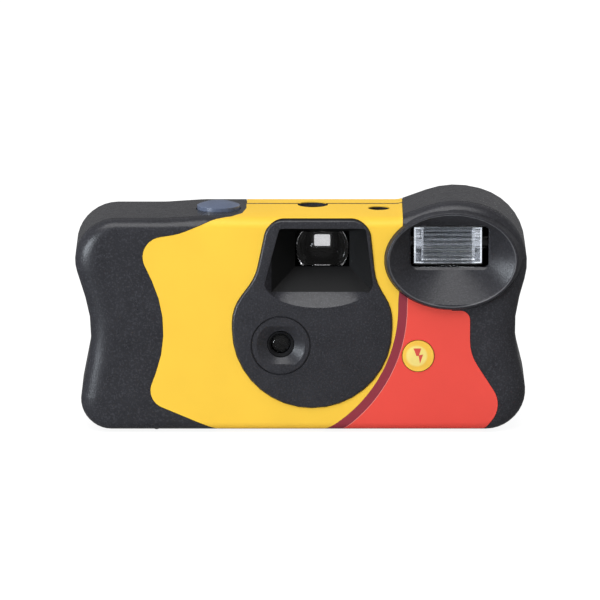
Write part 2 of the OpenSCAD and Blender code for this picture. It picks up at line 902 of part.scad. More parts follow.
keeper_posts = [
    [keeper_left + 1.6, keeper_front + 1.6],
    [keeper_left + 1.6, keeper_back - 1.6],
    [keeper_right - 1.6, keeper_back - 1.6]
];

module finder_tube() {
    difference() {
        eyepiece_tunnel(finder_tube_t, finder_lens_y + part_gap, finder_back);
        eyepiece_tunnel(0, finder_lens_y - past, finder_back + past);
    }
}

module eyepiece_tunnel(t, from, to) {
    block([finder_x - finder_w / 2 - t, from, finder_z - finder_h / 2 - t],
        [finder_x + finder_w / 2 + t, to, finder_z + finder_h / 2 + t]);
}

module cartridge_can() {
    low = cartridge_z + cartridge_cap_t;
    high = cartridge_top - cartridge_cap_t;
    slit_y = film_y + film_t / 2;
    color(yellow) on_base() difference() {
        union() {
            post(cartridge_x, cartridge_y, cartridge_can_r, low, high);
            block([cartridge_x, slit_y - mouth_t / 2, low + 1.5],
                [cartridge_x + mouth_l, slit_y + mouth_t / 2, high - 1.5]);
        }
        post(cartridge_x, cartridge_y, cartridge_can_r - cartridge_wall, low - past, high + past);
        block([cartridge_x, slit_y - mouth_slit / 2, film_z - film_w / 2 - 0.4],
            [cartridge_x + mouth_l + past, slit_y + mouth_slit / 2, film_z + film_w / 2 + 0.4]);
    }
}

module cartridge_end_caps() {
    color(steel) on_base()
        for (z = [cartridge_z, cartridge_top - cartridge_cap_t])
            difference() {
                post(cartridge_x, cartridge_y, cartridge_cap_r, z, z + cartridge_cap_t);
                post(cartridge_x, cartridge_y, spool_r + run_gap, z - past, z + cartridge_cap_t + past);
            }
}

module cartridge_spool() {
    top = cartridge_top + spool_knob_h;
    color(dark) on_base() difference() {
        union() {
            post(cartridge_x, cartridge_y, spool_r, cartridge_z + 0.1, cartridge_top);
            post(cartridge_x, cartridge_y, spool_knob_r, cartridge_top - eps, top);
        }
        block([cartridge_x - 2 * spool_r, cartridge_y - drive_bar_w / 2 - 0.1, top - 1.8],
            [cartridge_x + 2 * spool_r, cartridge_y + drive_bar_w / 2 + 0.1, top + past]);
    }
}

module film_strip() {
    start = cartridge_x + mouth_l - 3;
    holes = floor((roll_x - start - film_pitch) / film_pitch);
    hole_w = 2;
    hole_h = 2.8;
    color([0.35, 0.25, 0.2]) on_base() difference() {
        block([start, film_y, film_z - film_w / 2], [roll_x, film_y + film_t, film_z + film_w / 2]);
        for (i = [0:holes - 1], s = [-1, 1])
            translate([start + film_pitch * (i + 0.75), film_y, film_z + s * (film_w / 2 - 2 - hole_h / 2)])
                cube([hole_w, 4 * film_t, hole_h], center = true);
    }
}

module film_supply_roll() {
    color([0.35, 0.25, 0.2]) on_base() difference() {
        post(roll_x, roll_y, roll_r, film_z - film_w / 2, film_z + film_w / 2);
        post(roll_x, roll_y, roll_core_r, 0, body_h);
    }
}

module supply_core() {
    color(ivory) on_base() {
        post(roll_x, roll_y, roll_core_r, supply_floor + part_gap, supply_top - part_gap);
        post(roll_x, roll_y, core_pin_r, supply_floor - 1, supply_bridge_z + supply_bridge_t);
    }
}

module thumbwheel() {
    notch_step = 360 / thumbwheel_notches;
    rim = [
        for (i = [0:thumbwheel_notches - 1], k = [[0, 0], [0.3, 0], [0.5, 1], [0.8, 1]])
            let (s = notch_step * (i + k[0]), r = wheel_r - wheel_notch * k[1])
            [r * cos(s), r * sin(s)]
    ];
    knob_top = cartridge_top + spool_knob_h + part_gap;
    color(dark) on_base() {
        difference() {
            union() {
                translate([cartridge_x, cartridge_y, wheel_z]) linear_extrude(wheel_t) polygon(rim);
                post(cartridge_x, cartridge_y, wheel_hub_r, ceiling_z, wheel_z + eps);
            }
            post(cartridge_x, cartridge_y, spool_knob_r + 0.1, ceiling_z - past, knob_top);
            difference() {
                post(cartridge_x, cartridge_y, wheel_r - 2.4, wheel_z + wheel_t - 0.8,
                    wheel_z + wheel_t + past);
                post(cartridge_x, cartridge_y, wheel_hub_r, wheel_z, wheel_z + wheel_t + past);
            }
        }
        block([cartridge_x - spool_knob_r - 0.1, cartridge_y - drive_bar_w / 2, knob_top - 1.7],
            [cartridge_x + spool_knob_r + 0.1, cartridge_y + drive_bar_w / 2, knob_top + eps]);
    }
}

// Toothed wheel under the deck, its shaft, and the finger that steps the counter
module sprocket_wheel() {
    finger_r = dial_x - sprocket_x - dial_r - part_gap;
    root_r = sprocket_pitch_r - 0.3;
    color(ivory) on_base() {
        post(sprocket_x, sprocket_y, root_r, sprocket_z, sprocket_z + sprocket_t);
        for (i = [0:sprocket_teeth - 1])
            translate([sprocket_x, sprocket_y, sprocket_z + sprocket_t / 2])
                rotate(i * 360 / sprocket_teeth + 22.5)
                rotate([90, 0, 0]) rotate([0, 90, 0])
                    translate([0, 0, root_r - 0.4])
                        linear_extrude(sprocket_tip_r - root_r + 0.3)
                            square([1.7, 2.2], center = true);
        post(sprocket_x, sprocket_y, shaft_r, sprocket_z - 1.8, dial_z + dial_t);
        translate([sprocket_x, sprocket_y, dial_z])
            rotate(atan2(dial_y - sprocket_y, dial_x - sprocket_x) + 180)
                translate([0, -0.5, 0]) cube([finger_r, 1, dial_t]);
    }
}

module counter_dial() {
    step = 360 / dial_teeth;
    rim = [
        for (i = [0:dial_teeth - 1], k = [[0, 0], [0.45, 0], [0.6, 1], [0.85, 1]])
            let (s = step * (i + k[0]), r = dial_r - dial_tooth * k[1])
            [r * cos(s), r * sin(s)]
    ];
    color(ivory) on_base() translate([dial_x, dial_y, dial_z]) difference() {
        linear_extrude(dial_t) polygon(rim);
        translate([0, 0, -past]) cylinder(r = dial_post_r + run_gap, h = dial_t + 2 * past);
    }
}

module keeper_plate() {
    color(dark) on_base() difference() {
        block([keeper_left, keeper_front, keeper_z], [keeper_right, keeper_back, keeper_z + keeper_t]);
        post(button_x, button_y, stem_r + 0.1, keeper_z - past, keeper_z + keeper_t + past);
        post(sprocket_x, sprocket_y, shaft_r + run_gap, keeper_z - past, keeper_z + keeper_t + past);
    }
}

module shutter_button() {
    dome_r = 14;
    color(slate) on_base() {
        intersection() {
            post(button_x, button_y, button_r, button_seat, button_top);
            translate([button_x, button_y, button_top - dome_r]) sphere(r = dome_r, $fn = 96);
        }
        for (s = [-1, 1])
            block([button_x - 1.5, button_y + s * (button_r - 0.4) - 1.1, button_seat - button_lug],
                [button_x + 1.5, button_y + s * (button_r - 0.4) + 1.1, button_seat + eps]);
        post(button_x, button_y, stem_r, stem_bottom, button_seat + eps);
    }
}

// Round wire wound into a coil of the given turns, with its axis along z
module coil(r, wire, height, turns) {
    per_turn = 8;
    sides = 6;
    count = turns * per_turn;
    rings = [
        for (i = [0:count])
            let (s = 360 * i / per_turn, z = wire / 2 + (height - wire) * i / count)
            [for (k = [0:sides - 1])
                let (q = 360 * k / sides)
                [(r + wire / 2 * cos(q)) * cos(s), (r + wire / 2 * cos(q)) * sin(s),
                    z + wire / 2 * sin(q)]]
    ];
    faces = concat(
        [for (i = [0:count - 1], k = [0:sides - 1])
            let (a = i * sides + k, b = i * sides + (k + 1) % sides)
            each [[a, b, b + sides], [a, b + sides, a + sides]]],
        [for (k = [1:sides - 2]) [0, k + 1, k]],
        [for (k = [1:sides - 2]) [count * sides, count * sides + k, count * sides + k + 1]]
    );
    polyhedron([for (r = rings) each r], faces);
}

module button_spring() {
    color(steel) on_base()
        translate([button_x, button_y, keeper_z + keeper_t + 0.05])
            coil(stem_r + 0.8, 0.35, button_seat - keeper_z - keeper_t - 0.1, 3);
}

module release_lever() {
    reach = lever_x - button_x + 1.2;
    color(ivory) on_base() {
        rod_y(lever_x, lever_z, trunnion_r, bracket_front, bracket_back + bracket_t);
        rod_y(lever_x, lever_z, trunnion_r + 0.9, button_y - lever_w / 2, button_y + lever_w / 2);
        block([lever_x - reach, button_y - lever_w / 2, lever_z + 0.2],
            [lever_x, button_y + lever_w / 2, lever_z + lever_t + 0.2]);
        block([lever_x, button_y - lever_w / 2, lever_z - 0.7],
            [striker_x + 1.5, button_y + lever_w / 2, lever_z + 0.7]);
        block([striker_x + 0.3, button_y - 0.2, striker_z + striker_t + part_gap],
            [striker_x + 1.5, button_y + lever_w / 2, lever_z]);
    }
}

module striker_lever() {
    tip = [striker_reach_x, striker_reach_y];
    color(ivory) on_base() translate([striker_x, striker_y, striker_z]) difference() {
        union() {
            cylinder(r = striker_hub_r, h = striker_t);
            rotate(atan2(tip[1], tip[0])) translate([0, -1, 0]) cube([norm(tip), 2, striker_t]);
            translate([1.7, 0, 0]) cube([1.2, button_y - striker_y + 1.2, striker_t]);
        }
        translate([0, 0, -past]) cylinder(r = striker_post_r + run_gap, h = striker_t + 2 * past);
    }
}

module striker_spring() {
    color(steel) on_base()
        translate([striker_x, striker_y, striker_z + striker_t + 0.15]) coil(striker_post_r + 0.5, 0.35,
            2, 3);
}

module shutter_blade() {
    color(dark) on_base() difference() {
        along_y(blade_y, blade_y + blade_t) {
            hull() {
                translate([lens_x, lens_z]) circle(r = blade_disc_r);
                translate([blade_pivot_x, blade_pivot_z]) circle(r = blade_pin_r + 1.1);
            }
            translate([blade_pivot_x - tail_w / 2, blade_pivot_z])
                square([tail_w, tail_top - blade_pivot_z]);
        }
        rod_y(blade_pivot_x, blade_pivot_z, blade_pin_r + run_gap, blade_y - past,
            blade_y + blade_t + past);
    }
}

module blade_spring() {
    height = blade_y - aperture_y - aperture_t - 0.2;
    color(steel) on_base()
        translate([blade_pivot_x, blade_y - 0.1, blade_pivot_z]) rotate([90, 0, 0])
            coil(blade_pin_r + 0.5, 0.25, height, 3);
}

module aperture_plate() {
    color(dark) on_base() difference() {
        union() {
            block([blade_pivot_x - 3, aperture_y, lens_z - 7.5],
                [lens_x + 9, aperture_y + aperture_t, lens_z + 8]);
            block([blade_pivot_x - 3, aperture_y, lens_z],
                [blade_pivot_x + 3, aperture_y + aperture_t, blade_pivot_z + 3]);
            rod_y(lens_x, lens_z, lens_seat_r + lens_rim_t, aperture_y - lens_rim_h, aperture_y + eps);
            for (p = [[blade_pivot_x - 2, lens_z - 6.5], [lens_x + 8, lens_z - 6.5], [lens_x + 8, lens_z + 7]])
                rod_y(p[0], p[1], 0.9, aperture_y, plate_y);
        }
        rod_y(lens_x, lens_z, lens_seat_r, aperture_y - lens_rim_h - past, aperture_y);
        rod_y(lens_x, lens_z, aperture_r, aperture_y - past, aperture_y + aperture_t + past);
        rod_y(blade_pivot_x, blade_pivot_z, blade_pin_r + run_gap, aperture_y - past,
            aperture_y + aperture_t + past);
    }
}

module taking_lens() {
    bulge_r = 5;
    back_r = 9;
    edge_y = aperture_y - lens_edge_t;
    drop = sqrt(bulge_r * bulge_r - lens_clear_r * lens_clear_r);
    color(clear) on_base() difference() {
        union() {
            rod_y(lens_x, lens_z, lens_r, edge_y, aperture_y);
            intersection() {
                rod_y(lens_x, lens_z, lens_clear_r, edge_y - bulge_r, edge_y + eps);
                translate([lens_x, edge_y + drop, lens_z]) sphere(r = bulge_r, $fn = 96);
            }
        }
        translate([lens_x, aperture_y + back_r - 0.3, lens_z]) sphere(r = back_r, $fn = 96);
    }
}

module lens_retainer() {
    low = aperture_y - lens_edge_t;
    color(dark) on_base() difference() {
        rod_y(lens_x, lens_z, lens_r, low - 1.4, low);
        rod_y(lens_x, lens_z, lens_clear_r + 0.03, low - 1.4 - past, low + past);
        translate([lens_x, low - 1.4 - eps, lens_z]) rotate([-90, 0, 0])
            cylinder(r1 = lens_r - 0.3, r2 = lens_clear_r, h = 0.6);
    }
}

// Round diverging lens with its top, bottom and sides cut to the finder tube
module finder_front_lens() {
    r = 7;
    t = 2;
    curve_r = 16;
    fit = 0.1;
    color(clear) on_base() difference() {
        intersection() {
            rod_y(finder_x, finder_z, r, finder_lens_y + 0.4, finder_lens_y + 0.4 + t);
            eyepiece_tunnel(-fit, finder_lens_y, finder_lens_y + 3);
        }
        translate([finder_x, finder_lens_y + t + curve_r, finder_z]) sphere(r = curve_r, $fn = 96);
    }
}

module finder_eyepiece() {
    curve_r = 22;
    t = 1.6;
    y = back_y - 0.7 - t;
    color(clear) on_base() intersection() {
        eyepiece_window(eyepiece_w, eyepiece_h, 0.5, y, y + t);
        translate([finder_x, y + curve_r, finder_z]) sphere(r = curve_r, $fn = 200);
    }
}

module sync_contacts() {
    leaf_t = 0.25;
    color(brass) on_base()
        for (i = [0, 1])
            translate([plate_left + 0.6 + 1.6 * i, 0, 0]) {
                block([0, plate_y - leaf_t, lens_z - 4], [1.2, plate_y, lens_z + 3]);
                block([0, plate_y - leaf_t - 0.7, lens_z - 4 - leaf_t], [1.2, plate_y, lens_z - 4]);
            }
}

module flash_button() {
    cap_y = front_y - 0.2;
    flange_y = in_front + 0.15;
    color([1, 0.75, 0.15]) on_base() {
        rod_y(flash_button_x, flash_button_z, flash_button_d / 2, cap_y, flange_y + eps);
        rod_y(flash_button_x, flash_button_z, flash_button_d / 2 + 0.7, flange_y, flange_y + 0.65);
    }
}

module flash_switch_leaf() {
    leaf_t = 0.25;
    low = in_front + 0.8 + flash_travel + 0.05;
    color(brass) on_base() {
        rod_y(flash_button_x, flash_button_z, 2.6, low, low + leaf_t);
        for (s = [-1, 1])
            rod_y(flash_button_x + s * 1.8, flash_button_z, 0.5, low, board_y);
    }
}

module flash_circuit_board() {
    color([0.2, 0.45, 0.25]) on_base()
        along_y(board_y, board_back)
            polygon([
                [board_left, board_low],
                [board_right - 3, board_low],
                [board_right, board_low + 6],
                [board_right - 1.5, board_top],
                [board_left, board_top]
            ]);
}

module flash_capacitor() {
    y = board_back + capacitor_r;
    low = board_low + 0.8;
    color([0.15, 0.15, 0.2]) on_base() difference() {
        post(capacitor_x, y, capacitor_r, low, low + capacitor_h);
        for (z = [low + 2.2, low + capacitor_h - 2.2])
            translate([capacitor_x, y, z]) rotate_extrude() translate([capacitor_r, 0]) circle(r = 0.4);
    }
}

module flash_transformer() {
    low = board_low + capacitor_h + 1.2;
    w = 9;
    h = 6;
    d = 6.5;
    flange = 0.8;
    x = capacitor_x - w / 2;
    color([0.75, 0.45, 0.2]) on_base() {
        block([x, board_back, low], [x + w, board_back + d, low + flange]);
        block([x, board_back, low + h - flange], [x + w, board_back + d, low + h]);
        rod = d / 2 - 0.4;
        post(capacitor_x, board_back + d / 2, rod, low + flange - eps, low + h - flange + eps);
    }
}

module trigger_coil() {
    color([0.6, 0.3, 0.15]) on_base() {
        post(board_left + 2.6, board_back + 1.8, 1.7, 24, 30);
        for (z = [23.4, 30])
            block([board_left + 0.8, board_back, z], [board_left + 4.4, board_back + 3.5, z + 0.6]);
    }
}

module circuit_components() {
    color([0.8, 0.7, 0.5]) on_base() {
        for (z = [8, 12, 16])
            rod_x(board_back + 1.1, z, 1.1, board_left + 7, board_left + 13.5);
        rod_x(board_back + 1.3, 26, 1.3, board_left + 7, board_left + 12.5);
        difference() {
            post(board_left + 15.5, board_back, 2.4, 20, 25);
            block([board_left + 10, board_back - 5, 15], [board_left + 20, board_back, 30]);
        }
    }
}

module battery() {
    color([0.75, 0.55, 0.2]) on_base() {
        rod_x(battery_y, battery_z, battery_r, battery_x, battery_x + battery_l);
        rod_x(battery_y, battery_z, battery_nub_r, battery_x + battery_l - eps,
            battery_x + battery_l + battery_nub_l);
    }
}

module battery_contacts() {
    far = battery_x + battery_l + battery_nub_l + part_gap;
    color(brass) on_base() {
        block([battery_x - part_gap - contact_t, battery_y - 3, battery_z - 3.6],
            [battery_x - part_gap, battery_y + 3, battery_z + 3.6]);
        block([far, board_back, battery_z - 2.6], [far + contact_t, battery_y + 3, battery_z + 2.6]);
        block([far, board_back, battery_z - 2.6],
            [board_left + 2, board_back + contact_t, battery_z + 2.6]);
    }
}

// Clear window with lengthwise ribs on its face, bevelled ends and a tab above and below
module flash_lens() {
    ribs = 8;
    pitch = (flash_h - 1.2) / ribs;
    bevel_l = 1.8;
    bevel_d = 0.8;
    tab_w = 6.2;
    tab_t = 0.8;
    color(clear) on_base() {
        hull() {
            box_slab(flash_x, flash_z, flash_w - 2 * bevel_l, flash_h, flash_y, eps);
            box_slab(flash_x, flash_z, flash_w, flash_h, flash_y + bevel_d, flash_lens_t - bevel_d);
        }
        box_slab(flash_x, flash_z, tab_w, flash_h + 2 * tab_rise, flash_y + flash_lens_t - tab_t, tab_t);
        intersection() {
            for (i = [0:ribs - 1])
                rod_x(flash_y + 0.2, flash_z + pitch * (i - ribs / 2 + 0.5), pitch / 2 - 0.02,
                    flash_x - flash_w / 2 + bevel_l + 0.2, flash_x + flash_w / 2 - bevel_l - 0.2);
            block([flash_x - flash_w, flash_y - 2, 0], [flash_x + flash_w, flash_y + eps, 2 * body_h]);
        }
    }
}

// Bright trough behind the flash tube
module flash_reflector() {
    mouth = flash_h - 0.6;
    back = 4.2;
    color([0.9, 0.9, 0.92]) on_base() difference() {
        reflector_hull(mouth, back, 0);
        reflector_hull(mouth - 2 * reflector_t, back - 2 * reflector_t, reflector_t);
        rod_x(tube_y, flash_z, tube_r + part_gap, flash_x - flash_w, flash_x + flash_w);
    }
}

tube_y = reflector_y + 3.8;
module reflector_hull(mouth, back, t) {
    hull() {
        box_slab(flash_x, flash_z, flash_w - 0.4 - 2 * t, mouth, reflector_y - (t > 0 ? eps : 0), eps);
        box_slab(flash_x, flash_z, flash_w - 0.4 - 2 * t, back, reflector_y + reflector_d - t, eps);
    }
}

module flash_tube() {
    color(clear) on_base() {
        rod_x(tube_y, flash_z, tube_r, flash_x - flash_w / 2 - 2, flash_x + flash_w / 2 + 2);
        for (s = [-1, 1])
            rod_x(tube_y, flash_z, tube_r - 0.5, flash_x + s * (flash_w / 2 + 2.9) - 1,
                flash_x + s * (flash_w / 2 + 2.9) + 1);
    }
}

module ready_lamp() {
    color([0.9, 0.5, 0.2]) on_base() {
        post(ready_x, ready_y, lamp_r, lamp_z, lamp_z + lamp_h);
        translate([ready_x, ready_y, lamp_z + lamp_h]) sphere(r = lamp_r);
    }
}

module ready_light_pipe() {
    low = lamp_z + lamp_h + lamp_r + part_gap;
    color([0.5, 0.3, 0.15]) on_base() {
        post(ready_x, ready_y, ready_d / 2 - 0.2, low, in_top + 0.3);
        post(ready_x, ready_y, ready_d / 2 + 0.7, in_top - 1.2, in_top - 0.2);
    }
}

front_cover();
rear_cover();
front_label();
rear_label();
film_door();
main_frame();
cartridge_can();
cartridge_end_caps();
cartridge_spool();
film_strip();
film_supply_roll();
supply_core();
thumbwheel();
sprocket_wheel();
counter_dial();
keeper_plate();
shutter_button();
button_spring();
release_lever();
striker_lever();
striker_spring();
shutter_blade();
blade_spring();
aperture_plate();
taking_lens();
lens_retainer();
finder_front_lens();
finder_eyepiece();
sync_contacts();
flash_button();
flash_switch_leaf();
flash_circuit_board();
flash_capacitor();
flash_transformer();
trigger_coil();
circuit_components();
battery();
battery_contacts();
flash_lens();
flash_reflector();
flash_tube();
ready_lamp();
ready_light_pipe();
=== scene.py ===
import math

import bpy
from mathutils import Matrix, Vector


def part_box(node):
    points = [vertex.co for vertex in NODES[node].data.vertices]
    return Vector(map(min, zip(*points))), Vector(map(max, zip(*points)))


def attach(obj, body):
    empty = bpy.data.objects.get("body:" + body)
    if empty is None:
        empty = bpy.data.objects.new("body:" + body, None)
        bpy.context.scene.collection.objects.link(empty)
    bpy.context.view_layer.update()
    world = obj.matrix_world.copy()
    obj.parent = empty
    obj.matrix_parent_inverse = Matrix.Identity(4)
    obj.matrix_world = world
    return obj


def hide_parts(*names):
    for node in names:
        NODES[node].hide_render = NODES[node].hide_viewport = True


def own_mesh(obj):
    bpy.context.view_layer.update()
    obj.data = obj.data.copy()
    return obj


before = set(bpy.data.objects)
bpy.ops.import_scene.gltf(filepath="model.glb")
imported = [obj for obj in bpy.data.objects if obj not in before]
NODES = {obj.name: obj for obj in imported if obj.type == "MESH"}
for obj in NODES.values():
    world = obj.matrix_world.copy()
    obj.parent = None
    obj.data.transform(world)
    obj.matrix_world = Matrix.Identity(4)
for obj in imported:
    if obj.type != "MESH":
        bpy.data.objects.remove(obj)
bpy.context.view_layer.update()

bl_info = {
    "name": "Disposable film camera",
    "version": (1, 0, 0),
    "blender": (4, 5, 0),
    "location": "3D View > Sidebar > Film camera",
    "description": "Dresses the packed film camera in its plastics, print and glass "
                   "and sets up a plain studio",
    "category": "Object",
}

MM = 0.001
WHITE = (1.0, 1.0, 1.0)
ACRYLIC_IOR, GLASS_IOR = 1.49, 1.47
NOISE_SPAN = (0.3, 0.7)  # most values of a noise texture lie between these
PRINT_GAP = 0.01 * MM  # ink stands this far off the face that carries it
PANEL_RISE = 0.6 * MM  # the lens panel stands this far out from the label


def corners(node):
    """Lowest and highest corner of a CAD node's box, in metres."""
    return [Vector(corner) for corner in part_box(node)]


def middle(node):
    """Middle of a CAD node's box, in metres."""
    low, high = corners(node)
    return (low + high) / 2


LABEL_FACE = corners("front_label")[0].y
PANEL_FACE = LABEL_FACE - PANEL_RISE
DISH_RIM = corners("front_cover")[0].y
FLASH_FACE = corners("flash_lens")[0].y


def linear(red, green, blue):
    """Linear colour of an eight-bit screen colour, by the sRGB curve."""
    def one(value):
        part = value / 255
        return part / 12.92 if part <= 0.04045 else ((part + 0.055) / 1.055) ** 2.4
    return one(red), one(green), one(blue)


def colour(name, description, value):
    return bpy.props.FloatVectorProperty(
        name=name, description=description, subtype="COLOR", size=3, min=0, max=1, default=value)


def length(name, description, value):
    return bpy.props.FloatProperty(
        name=name, description=description, unit="LENGTH", default=value)


def angle(name, description, degrees):
    return bpy.props.FloatProperty(
        name=name, description=description, subtype="ANGLE", default=math.radians(degrees))


def amount(name, description, value):
    return bpy.props.FloatProperty(name=name, description=description, default=value, min=0)


class ShellFinish(bpy.types.PropertyGroup):
    """Moulded plastics of the covers and keys."""

    black: colour("Black", "Colour of the moulded covers", linear(47, 47, 51))
    slate: colour("Slate", "Colour of the shutter button", linear(96, 105, 126))
    grain_size: length("Grain size", "Size of the spark-eroded grain", 0.42 * MM)
    grain_depth: amount("Grain depth", "Strength of the grain", 0.8)
    gloss_roughness: amount("Roughness", "Roughness of the black moulding", 0.31)
    # Funnel colour: painted shade, darker in the recess in front of the finder.
    funnel: colour("Funnel", "Colour of the matt funnel of the finder", linear(18, 18, 19))
    funnel_roughness: amount("Funnel roughness", "Roughness of the matt funnel", 0.7)
    funnel_width: length("Funnel width", "Width of the mouth of the funnel", 26.9 * MM)
    funnel_drop: length(
        "Funnel drop", "Lower edge of the funnel under the middle of the finder lens", 10.35 * MM)
    scoop_depth: length("Scoop depth", "Depth of the scoop below the funnel", 2.47 * MM)
    dish_width: length("Dish width", "Width of the flash dish at its rim", 33.4 * MM)
    dish_height: length("Dish height", "Height of the flash dish at its rim", 24.6 * MM)
    dish_slope: amount("Dish slope", "Tilt of the dish's wall", 0.55)
    # The rim colour is a painted highlight: a thin pale ring where the dish's edge catches the
    # light.
    rim: colour("Rim", "Colour of the polished edge of the flash dish", linear(104, 104, 107))


class LabelPrint(bpy.types.PropertyGroup):
    """Flat colours of the printed label and the sweep of its stripe."""

    field: colour("Field", "Colour of the label's main field", linear(255, 207, 71))
    stripe: colour("Stripe", "Colour of the curved stripe", linear(150, 58, 70))
    corner: colour("Corner", "Colour of the field beyond the stripe", linear(240, 83, 72))
    sweep_x: length("Sweep middle, x", "Middle of the stripe's sweep across the body", -12.5 * MM)
    sweep_z: length("Sweep middle, z", "Middle of the stripe's sweep above the base", 33.9 * MM)
    sweep_radius: length("Sweep radius", "Radius of the stripe's inner edge", 38.0 * MM)
    stripe_width: length("Stripe width", "Width of the stripe", 2.35 * MM)
    lean: amount(
        "Lean", "Bend of the stripe away from the middle above its sweep, per metre", 14.0)
    line: colour("Line", "Colour of the fine line along the stripe", linear(240, 150, 140))
    line_width: length("Line width", "Width of the fine line along the stripe", 0.12 * MM)


class KeyPrint(bpy.types.PropertyGroup):
    """Print on the flash key."""

    rim: colour("Rim", "Colour of the rim of the key", linear(255, 203, 74))
    disc: colour("Disc", "Colour of the pale disc", linear(255, 231, 132))
    bolt: colour("Bolt", "Colour of the bolt", linear(224, 84, 72))
    bolt_height: length("Bolt height", "Height of the bolt on the key", 4.1 * MM)


class StudioSetup(bpy.types.PropertyGroup):
    """Camera and light of the studio."""

    elevation: angle("Elevation", "Height of the camera above the horizon", 11.2)
    distance: length("Distance", "From the camera to the front of the object", 2.4)
    view_width: length("View width", "Width of the view at the front of the object", 158.3 * MM)
    aim_x: length("Aim, x", "Point that the camera looks at, across", -0.4 * MM)
    aim_z: length("Aim, z", "Point that the camera looks at, above the floor", 35.95 * MM)
    sky_power: amount("Sky power", "Strength of the broad even light from above", 2.2)
    left_power: amount("Left power", "Watts of the lamp on the left", 3.7)
    right_power: amount("Right power", "Watts of the lamp on the right", 0.1)
    front_power: amount("Front power", "Watts of the lamp by the camera", 0.45)
    back_power: amount("Back power", "Watts of the lamp behind the object", 5.0)
    ambient: amount("Ambient", "Brightness of the surroundings", 0.2)
    gloss_share: amount(
        "Gloss share", "How much of the white surroundings shows in gloss", 0.16)
    floor_share: amount(
        "Floor share", "Share of the floor's brightness that is plain white", 0.7)
    floor_glow: amount("Floor glow", "Strength of the floor's plain white", 1.3)


def settings(name):
    """One of the scene's property groups."""
    return getattr(bpy.context.scene, name)


def link(name, data):
    """A new object in the scene's own collection."""
    piece = bpy.data.objects.new(name, data)
    bpy.context.scene.collection.objects.link(piece)
    return piece


def new_mesh(name, points, faces, material):
    mesh = bpy.data.meshes.new(name)
    mesh.from_pydata(points, [], faces)
    mesh.materials.append(material)
    return mesh


def add(tree, kind, inputs=None, **values):
    """Adds a node, sets its values and links or fills its inputs by name or number."""
    node = tree.nodes.new(kind)
    for key, value in values.items():
        setattr(node, key, value)
    for key, value in (inputs or {}).items():
        if isinstance(value, bpy.types.NodeSocket):
            tree.links.new(value, node.inputs[key])
        else:
            node.inputs[key].default_value = value
    return node


def maths(tree, operation, first, second=0.0, clamp=False):
    node = add(tree, "ShaderNodeMath", {0: first, 1: second}, operation=operation, use_clamp=clamp)
    return node.outputs[0]


def vector(tree, operation, first, second):
    node = add(tree, "ShaderNodeVectorMath", {0: first, 1: second}, operation=operation)
    return node.outputs[0]


def scaled(tree, first, level):
    node = add(tree, "ShaderNodeVectorMath", {0: first, "Scale": level}, operation="SCALE")
    return node.outputs[0]


def radius_of(tree, across, up):
    """Distance from an axis, of a point so far across and so far up from it."""
    squares = maths(tree, "ADD", maths(tree, "MULTIPLY", across, across),
                    maths(tree, "MULTIPLY", up, up))
    return maths(tree, "SQRT", squares)


def ramp(tree, value, start, end, first=0.0, last=1.0):
    """Value that goes from first to last as another goes from start to end."""
    node = add(tree, "ShaderNodeMapRange", {0: value, 1: start, 2: end, 3: first, 4: last})
    return node.outputs[0]


def object_place(tree):
    return add(tree, "ShaderNodeTexCoord").outputs["Object"]


def axes(tree, place):
    """The x, y and z of a place."""
    parts = add(tree, "ShaderNodeSeparateXYZ", {0: place})
    return parts.outputs["X"], parts.outputs["Y"], parts.outputs["Z"]


def noise(tree, place, scale, detail, roughness=0.5):
    node = add(tree, "ShaderNodeTexNoise", {
        "Vector": place, "Scale": scale, "Detail": detail, "Roughness": roughness})
    return node.outputs["Fac"]


def mix(tree, factor, first, second):
    """Colour that goes from first to second by a factor's socket."""
    node = add(tree, "ShaderNodeMix", data_type="RGBA")
    for key, value in (("Factor_Float", factor), ("A_Color", first), ("B_Color", second)):
        socket = next(s for s in node.inputs if s.identifier == key)
        if isinstance(value, bpy.types.NodeSocket):
            tree.links.new(value, socket)
        else:
            socket.default_value = (*value[:3], 1)
    return next(s for s in node.outputs if s.identifier == "Result_Color")


def group(name, inputs, outputs):
    """An empty shader node group with float or colour sockets, and its input and output nodes."""
    tree = bpy.data.node_groups.new(name, "ShaderNodeTree")
    for label, kind, default in inputs:
        socket = tree.interface.new_socket(label, in_out="INPUT", socket_type=kind)
        socket.default_value = default
    for label, kind in outputs:
        tree.interface.new_socket(label, in_out="OUTPUT", socket_type=kind)
    return tree, tree.nodes.new("NodeGroupInput"), tree.nodes.new("NodeGroupOutput")


def moulded_grain():
    """Fine pitted grain of a spark-eroded mould, with faint clouding of colour and gloss."""
    if "Moulded grain" in bpy.data.node_groups:
        return bpy.data.node_groups["Moulded grain"]
    tree, inner, outer = group(
        "Moulded grain",
        [("Color", "NodeSocketColor", (0.1, 0.1, 0.1, 1)), ("Roughness", "NodeSocketFloat", 0.4),
         ("Size", "NodeSocketFloat", 0.3 * MM), ("Sparkle", "NodeSocketFloat", 0.2)],
        [("Color", "NodeSocketColor"), ("Roughness", "NodeSocketFloat"),
         ("Height", "NodeSocketFloat")])
    cloud_scale, clouded, speckled = 140.0, (0.9, 1.1), (0.5, 0.68)
    place = object_place(tree)
    frequency = maths(tree, "DIVIDE", 1.0, inner.outputs["Size"])
    fine = noise(tree, place, frequency, detail=3.0, roughness=0.6)
    cloud = noise(tree, place, cloud_scale, detail=3.0)
    shine = maths(tree, "MULTIPLY", ramp(tree, fine, *speckled), inner.outputs["Sparkle"])
    lighter = ramp(tree, cloud, *NOISE_SPAN, *clouded)
    tint = scaled(tree, inner.outputs["Color"], maths(tree, "ADD", lighter, shine))
    rough = maths(tree, "MULTIPLY", inner.outputs["Roughness"], lighter, clamp=True)
    tree.links.new(tint, outer.inputs["Color"])
    tree.links.new(rough, outer.inputs["Roughness"])
    tree.links.new(fine, outer.inputs["Height"])
    return tree


